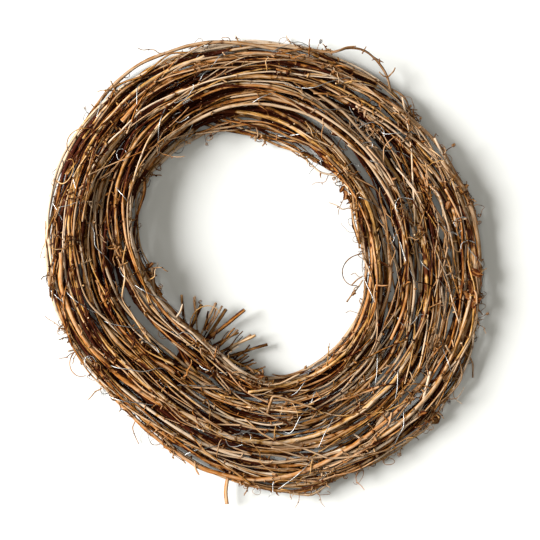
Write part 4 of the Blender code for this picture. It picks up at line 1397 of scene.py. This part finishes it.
def growShred(rng, bundle, n, length, width):
    # a flat strip that follows its stem and stands off at its ends with the square of the distance from its middle
    count = max(4, int(length / growth["hostStep"]))
    run = np.arange(n, n + count)
    if n + count >= len(hosts.owner) or hosts.owner[n + count] != hosts.owner[n]:
        return False
    out = rng.normal(size=3) * (1, 1, 0.5) + (0, 0, 0.9)
    along = hosts.along[run]
    outs = unit(out - along * (along @ out)[:, None])
    t = np.linspace(-1, 1, count)
    ahead, behind = growth["shredStand"]
    stand = rng.uniform(0, ahead) * np.clip(t, 0, 1)**2 + rng.uniform(0, behind) * np.clip(-t, 0, 1)**2
    across = np.cross(along, outs)
    points = hosts.place[run] + outs * (0.92 * hosts.size[run] + stand)[:, None]
    points = points + across * (either(rng, 2.5) * mm * t * np.abs(t))[:, None]
    if not fits(points):
        return False
    place, at, size, _ = smoothPath(points, width * (1.0 - 0.55 * t**2), 2.6 * mm)
    bundle.tube(place, size, at, outs[count // 2], 6, 0.4 + 0.25 * rng.normal(), flat=0.22,
                joint=np.full(len(at), rng.uniform(0.0, 0.5)), offset=rng.uniform(0, surface["grainApart"]), cut=0.0)
    return True


def repeat(wanted, attempt):
    # calls an attempt until it has worked often enough
    made = 0
    for _ in range(12 * wanted):
        if made == wanted:
            break
        made += attempt()
    return made


def slotOf(n):
    return slots[int(hosts.owner[n]) % 4]


def measures(kind, values=growth):
    # a length and a radius for one curl, twig, bud, stub or shred
    return rng.uniform(*values[kind + "Length"]), rng.uniform(*values[kind + "Radius"])


def oneCurl():
    n, *seat = hosts.sprout(rng, edges if rng.random() < 0.5 else everywhere)
    return growCurl(rng, thin, *seat, *measures("curl"))


def oneSpring():
    n, *seat = hosts.sprout(rng, edges if rng.random() < 0.6 else everywhere)
    return growSpring(rng, thin, *seat)


def oneTwig():
    n, *seat = hosts.sprout(rng, everywhere)
    return growTwig(rng, woody[slotOf(n)], *seat, *measures("twig"))


def oneBud():
    n, *seat = hosts.sprout(rng, everywhere)
    return growBud(rng, woody[slotOf(n)], *seat, *measures("bud"))


joints = np.concatenate(jointRows)
joints = joints[hollows.depth(joints[:, :3], joints[:, 6]) < 0.3]


def oneStub():
    # a thorn or broken leaf stalk at a joint
    row = joints[rng.integers(len(joints))]
    seat = leave(rng, row[:3], row[3:6] * rng.choice((-1, 1)), row[6])
    bundle = woody[slots[int(row[7])] if rng.random() < 0.5 else "bark_dark"]
    return growBud(rng, bundle, *seat, *measures("stub"))


def oneShred():
    n = int(rng.choice(everywhere))
    return growShred(rng, scraps[slotOf(n)], n, *measures("shred"))


for kind, attempt in (("curls", oneCurl), ("springs", oneSpring), ("twigs", oneTwig), ("stubs", oneStub),
                      ("buds", oneBud), ("shreds", oneShred)):
    print(kind + ":", repeat(growth[kind], attempt))


# knots of short twigs, buds and curled scraps where the growth is thick
knot = {
    # middles in mm in the photo's frame
    "middles": [
        (95, -22), (103, 152), (112, 138), (92, 96), (160, 30), (205, -22), (214, 60), (60, 208), (-140, 160),
        (-118, 92), (-180, 70), (-195, -60), (-150, -110), (-60, -165), (-5, -112), (60, -200), (110, -175),
        (150, -150), (175, -80), (150, -130), (-20, -220), (-95, -190), (-190, 20), (-60, 195), (20, 195),
        (140, 130), (-5, 127), (45, 108), (83, 80), (142, 55), (200, 72), (212, -32), (170, -152), (-3, -113),
        (-170, -97), (-108, 0), (-145, 15), (-58, -68), (-48, -78), (-38, -88), (-145, 60), (-150, -30), (-165, 110),
        (100, 143), (96, 150), (108, 135), (68, 196), (146, 150), (-122, -75), (-105, -140), (30, -150), (95, -140),
        (125, -95)],
    "reach": 9 * mm,
    "bits": (8, 16),
    # a draw below the first, second or third makes a curl, a twig or a bud, any other a strip of bark
    "chances": (0.30, 0.55, 0.80),
    "curlLength": (8 * mm, 20 * mm),
    "curlRadius": 0.38 * mm,
    "twigLength": (5 * mm, 14 * mm),
    "twigRadius": (0.45 * mm, 0.90 * mm),
    "budLength": (2 * mm, 6 * mm),
    "budRadius": (0.9 * mm, 1.7 * mm),
    "shredLength": (9 * mm, 22 * mm),
    "shredRadius": (0.9 * mm, 2.0 * mm),
}


def growKnot(rng, x, y):
    # eight to fifteen bits on the stems round one place
    _, near = hosts.near(x, y, knot["reach"])
    if len(near) == 0:
        return
    curl, twig, bud = knot["chances"]
    for _ in range(int(rng.integers(*knot["bits"]))):
        n, *seat = hosts.sprout(rng, near)
        draw = rng.random()
        if draw < curl:
            growCurl(rng, thin, *seat, rng.uniform(*knot["curlLength"]), knot["curlRadius"])
        elif draw < twig:
            growTwig(rng, woody["bark_dark"], *seat, *measures("twig", knot))
        elif draw < bud:
            growBud(rng, woody["bark_dark"], *seat, *measures("bud", knot))
        else:
            growShred(rng, scraps["bark_red"], n, *measures("shred", knot))


for x, y in knot["middles"]:
    growKnot(rng, x, y)
print("knots of growth:", len(knot["middles"]))

# growth, scraps and wire that can be made out singly in the photo: x and y in mm in its frame, lift over the coil
singled = {
    "twigs": [  # radius in mm and line; a height under 0 hangs beside the coil that far above the floor
        (0.95, [(199, -78, -24), (204, -88, -17), (211, -98, -11), (212, -113, -5)]),
        (1.35, [(5, -149, 0.0), (9, -136, 1.5), (13, -131, 2.0), (31, -136, 1.2), (50, -142, 0.2)]),
        (1.20, [(-46, -38, -17), (-53, -52, -13), (-62, -71, -9)]),
        (0.95, [(-40, -41, -14), (-48, -55, -11), (-59, -73, -8)]),
        (0.85, [(-24, -65, -13), (-33, -73, -11), (-48, -87, -8)]),
        (1.00, [(-11, -70, -12), (-24, -79, -10), (-42, -93, -8)]),
        (0.75, [(-67, -31, -19), (-66, -48, -14), (-65, -70, -9)]),
        (0.70, [(125, 187, -20), (131, 193, -23), (133, 197, -25)]),
        (0.65, [(126, 188, -20), (121, 189, -22), (117, 193, -23)]),
        (0.60, [(100, 211, -25), (104, 218, -27)]),
        (0.60, [(70, 210, -23), (66, 216, -26)]),
        (0.75, [(85, -37, -12), (90, -30, -13), (96, -23, -14), (101, -15, -14)]),
        (0.65, [(90, -20, -13), (95, -15, -14), (101, -11, -14)]),
        (0.60, [(94, -29, -14), (92, -24, -16), (97, -21, -15)]),
        (0.30, [(89, -10, -12), (93, -8, -12), (96, -11, -13), (100, -13, -13)]),
        (0.30, [(84, -48, -10), (88, -46, -11), (92, -47, -12), (98, -49, -12)]),
        (0.50, [(113, 60, -14), (116, 47, -15), (122, 38, -15), (129, 29, -14)]),
        (0.40, [(117, 46, -14), (123, 48, -14), (129, 45, -14)]),
        (0.80, [(114, -1, -14), (119, 0, -14), (125, -1, -14)]),
        (0.80, [(-6, 138, -16), (-4, 131, -15), (-7, 124, -14)]),
        (0.60, [(-5, 134, -15), (1, 128, -15)]),
        (0.70, [(-146, 169, -20), (-148, 177, -23), (-151, 184, -26)]),
        (0.50, [(-148, 177, -23), (-142, 182, -25)]),
        (0.60, [(-164, 154, -12), (-171, 161, -15)])],
    "squiggles": [(94, 148), (101, 143), (112, 138), (106, 120), (-29, -179), (-15, -172), (139, 63), (193, 36),
                  (10, -222), (-75, 168), (-82, 146), (128, 27), (-110, -80), (-74, -70), (-172, -97), (150, -55),
                  (60, -205), (-140, 110), (196, 44), (204, 22), (48, 110), (56, 104), (90, 96), (-190, 60)],
    "wraps": [(98, 143), (-172, -97), (-72, -70), (139, 63), (193, 36), (-80, 160), (120, -20), (40, -170)],
    "scraps": [(214, -8, 150, 14), (210, -22, 100, 15), (213, -37, 50, 14), (205, -30, 120, 11), (-2, -112, 200, 9),
               (84, 70, 90, 10), (80, 76, 60, 8), (87, 66, 120, 9), (-143, 152, 40, 10), (160, -148, 20, 9),
               (186, 60, 75, 10), (92, -28, 60, 7), (-111, 0, 50, 7), (45, 111, 150, 8), (-4, 129, 100, 7)],
    "scrapHeight": (14 * mm, 42 * mm),
    "scrapWidth": 0.24,
    "wireRadius": 0.36 * mm,
    "wireSpacing": 0.8 * mm,
    "squiggleSteps": (22, 44),
    "squiggleStep": 0.95 * mm,
    "squiggleSwing": (0.15, 0.22),
    "squiggleSink": 0.4 * mm,
    "squiggleRise": 2.2 * mm,
    "wrapReach": 8 * mm,
    "wrapGap": 0.5 * mm,
    "wrapTurns": (3, 6),
    "wrapPitch": (1.0 * mm, 2.2 * mm),
    "thatch": 25,
    "thatchFoot": ((-70, -50, 18), (-20, -106, 14)),
    "thatchAngle": (97, 22),
    "thatchLength": (9 * mm, 25 * mm),
    "thatchRadius": (0.5 * mm, 1.1 * mm),
}


def singleTwig(rng, radius, line):
    # a twig along given points
    top = max(hollows.top(x, y) for x, y, _ in line)
    points = np.array([(*onFloor(x, y), -z * mm if z < 0 else top + z * mm) for x, y, z in line])
    addTwig(woody["bark_dark"], points, radius * mm * np.linspace(1.1, 0.85, len(line)), rng, 9, 1.6 * mm, 0.5,
            flare=0.1)


def squiggle(rng, x, y):
    # loose wire: a line on the coil whose heading swings to and fro
    steps = int(rng.integers(*singled["squiggleSteps"]))
    swing, curve = singled["squiggleSwing"]
    heading = rng.uniform(0, 6.28) + np.cumsum(rng.normal(0, swing, steps) + either(rng, curve))
    path = walk(heading, singled["squiggleStep"])
    path -= path.mean(0)
    top = hollows.top(x, y) - singled["squiggleSink"]
    lift = singled["squiggleRise"] * rng.random() * np.linspace(-1, 1, steps)**2
    points = np.column_stack([path + onFloor(x, y), top + lift])
    if fits(points):
        addWire(looseWire, points, singled["wireRadius"], singled["wireSpacing"], np.array([0.0, 0.05, 1.0]))


def thatch(rng):
    # one thin straight stick between the splayed ends: from a foot under the rope, fanning out
    t = np.clip(rng.random() + 0.04 * rng.normal(), 0, 1)
    low, high = (np.array(foot, float) for foot in singled["thatchFoot"])
    foot = (low + t * (high - low) + rng.normal(size=3) * (2.5, 2.5, 4.0)) * mm
    angle = np.interp(t, (0, 1), singled["thatchAngle"]) + 11 * rng.normal()
    length = rng.uniform(*singled["thatchLength"])
    ray = np.array([*bearing(angle), rng.uniform(-0.25, 0.05)])
    points = foot + shift + ray * (length * np.linspace(0, 1, 4))[:, None]
    points[1:3] += rng.normal(size=(2, 3)) * 0.4 * mm
    points[:, 2] = np.maximum(points[:, 2], 1.5 * mm)
    bundle = woody["bark_dark" if rng.random() < 0.7 else "bark_brown"]
    radius = rng.uniform(*singled["thatchRadius"]) * np.linspace(1.1, 0.8, 4)
    addTwig(bundle, points, radius, rng, 7, 2.2 * mm, 0.12, flare=0.1)


def wrap(rng, x, y):
    # a few turns of wire round the stem nearest to a point
    away, near = hosts.near(x, y, singled["wrapReach"])
    if len(near) == 0:
        return
    n = near[np.argmin(away[near])]
    axis = hosts.along[n]
    across = unit(np.cross(axis, (0, 0, 1.0)))
    reach = hosts.size[n] + singled["wrapGap"]
    points = springLine(hosts.place[n] + across * reach, axis, across, rng.uniform(*singled["wrapTurns"]), reach,
                        rng.uniform(*singled["wrapPitch"]))
    end = points[-1] + (points[-1] - points[-2]) * np.linspace(1, 7, 6)[:, None] + (0, 0, 0.6 * mm)
    points = np.concatenate([points, end])
    if fits(points):
        addWire(looseWire, points, singled["wireRadius"], singled["wireSpacing"], axis)


def scrap(rng, x, y, heading, length):
    # a curled flake of dry bark or leaf: a flat tube of radius length x (1.05 - t^4), bent up and sideways as t^2
    t = np.linspace(-1, 1, 9)
    ray = np.array([*bearing(heading), 0.0])
    middle = np.array([*onFloor(x, y), np.clip(hollows.top(x, y), *singled["scrapHeight"]) - 1.0 * mm])
    points = middle + ray * (t * length * mm / 2)[:, None]
    points[:, 2] += rng.uniform(0.5, 3.5) * mm * t**2
    points = points + np.cross(ray, (0, 0, 1.0)) * (either(rng, 3) * mm * t**2)[:, None]
    place, at, size, _ = smoothPath(points, length * mm * singled["scrapWidth"] * (1.05 - t**4), 0.9 * mm)
    theta = 2 * np.pi * np.arange(18) / 18
    edge = 0.16 * waves(rng, at, 0.008, 0.003)[:, None] * np.abs(np.sin(theta))
    fold = unit(np.array([0.3 * rng.normal(), 0.3 * rng.normal(), 1.0]))
    scraps["bark_red"].tube(place, size, at, fold, 18, 0.32, edge, joint=np.full(len(at), 0.45), flat=0.12,
                            offset=rng.uniform(0, surface["grainApart"]), cut=0.0)


looseWire = Bundle()
rng = np.random.default_rng(growth["seed"] + 2)
for kind, lay in (("twigs", singleTwig), ("squiggles", squiggle), ("wraps", wrap), ("scraps", scrap)):
    for values in singled[kind]:
        lay(rng, *values)
for _ in range(singled["thatch"]):
    thatch(rng)
looseWire.piece("loose_wire", wireMaterial, "wire_steel")
print("single twigs, scraps and loose wire laid on")

for slot in slots:
    woody[slot].piece("side_twigs_" + slot[5:], barkMaterials[slot], slot)
    scraps[slot].piece("bark_shreds_" + slot[5:], barkMaterials[slot], slot)
thin.piece("tendrils", barkMaterials["bark_dark"], "bark_dark")
print("triangles in all:", sum(count for count, _ in triangles), "most:", sorted(triangles)[-5:])


# floor, light and camera
studio = {
    "pixel": 1 * mm,
    "frame": 540,
    "middle": (8, -5),
    "cameraHeight": 2.6,
    "lookedAt": 0.02,
    "sensor": 36.0,
    "floorColour": (0.60, 0.605, 0.585),
    "floorHalf": 6.0,
    "keyDirection": (-0.97, 0.16, 0.58),
    "keyDistance": 9.0,
    "keySize": 5.4,
    "keyPower": 2790.0,
    "fillHeight": 3.4,
    "fillSize": 1.8,
    "fillPower": 27.0,
    "fillColour": (1.0, 0.99, 0.93),
    "world": (1.0, 0.95, 0.85),
    "worldStrength": 0.27,
}

corners = studio["floorHalf"] * np.array([(-1, -1, 0), (1, -1, 0), (1, 1, 0), (-1, 1, 0)], float)
floorMesh = bpy.data.meshes.new("floor")
floorMesh.from_pydata(corners.tolist(), [], [(0, 1, 2, 3)])
floor = bpy.data.objects.new("floor", floorMesh)
bpy.context.scene.collection.objects.link(floor)
floorFinish = Finish("floor")
floorFinish.set(Base_Color=studio["floorColour"], Roughness=0.9)
floorMesh.materials.append(floorFinish.material)


def softLight(name, direction, distance, size, power, colour=(1.0, 1.0, 1.0)):
    # a round lamp that looks at the middle of the floor
    data = bpy.data.lights.new(name, "AREA")
    data.shape = "DISK"
    data.size = size
    data.energy = power
    data.color = colour
    lamp = bpy.data.objects.new(name, data)
    direction = Vector(direction).normalized()
    lamp.location = direction * distance
    lamp.rotation_euler = direction.to_track_quat("Z", "Y").to_euler()
    bpy.context.scene.collection.objects.link(lamp)


softLight("key", studio["keyDirection"], studio["keyDistance"], studio["keySize"], studio["keyPower"])
softLight("fill", (0, 0, 1), studio["fillHeight"], studio["fillSize"], studio["fillPower"], studio["fillColour"])

world = bpy.data.worlds.new("studio")
world.use_nodes = True
world.node_tree.nodes["Background"].inputs["Color"].default_value = (*studio["world"], 1)
world.node_tree.nodes["Background"].inputs["Strength"].default_value = studio["worldStrength"]
bpy.context.scene.world = world
bpy.context.scene.view_settings.view_transform = "Standard"

cameraData = bpy.data.cameras.new("camera")
height = studio["cameraHeight"]
cameraData.sensor_width = studio["sensor"]
cameraData.lens = studio["sensor"] * (height - studio["lookedAt"]) / (studio["frame"] * studio["pixel"])
cameraData.clip_end = 20.0
camera = bpy.data.objects.new("camera", cameraData)
camera.location = (*onFloor(*studio["middle"]), height)
bpy.context.scene.collection.objects.link(camera)
bpy.context.scene.camera = camera

print("scene ready")
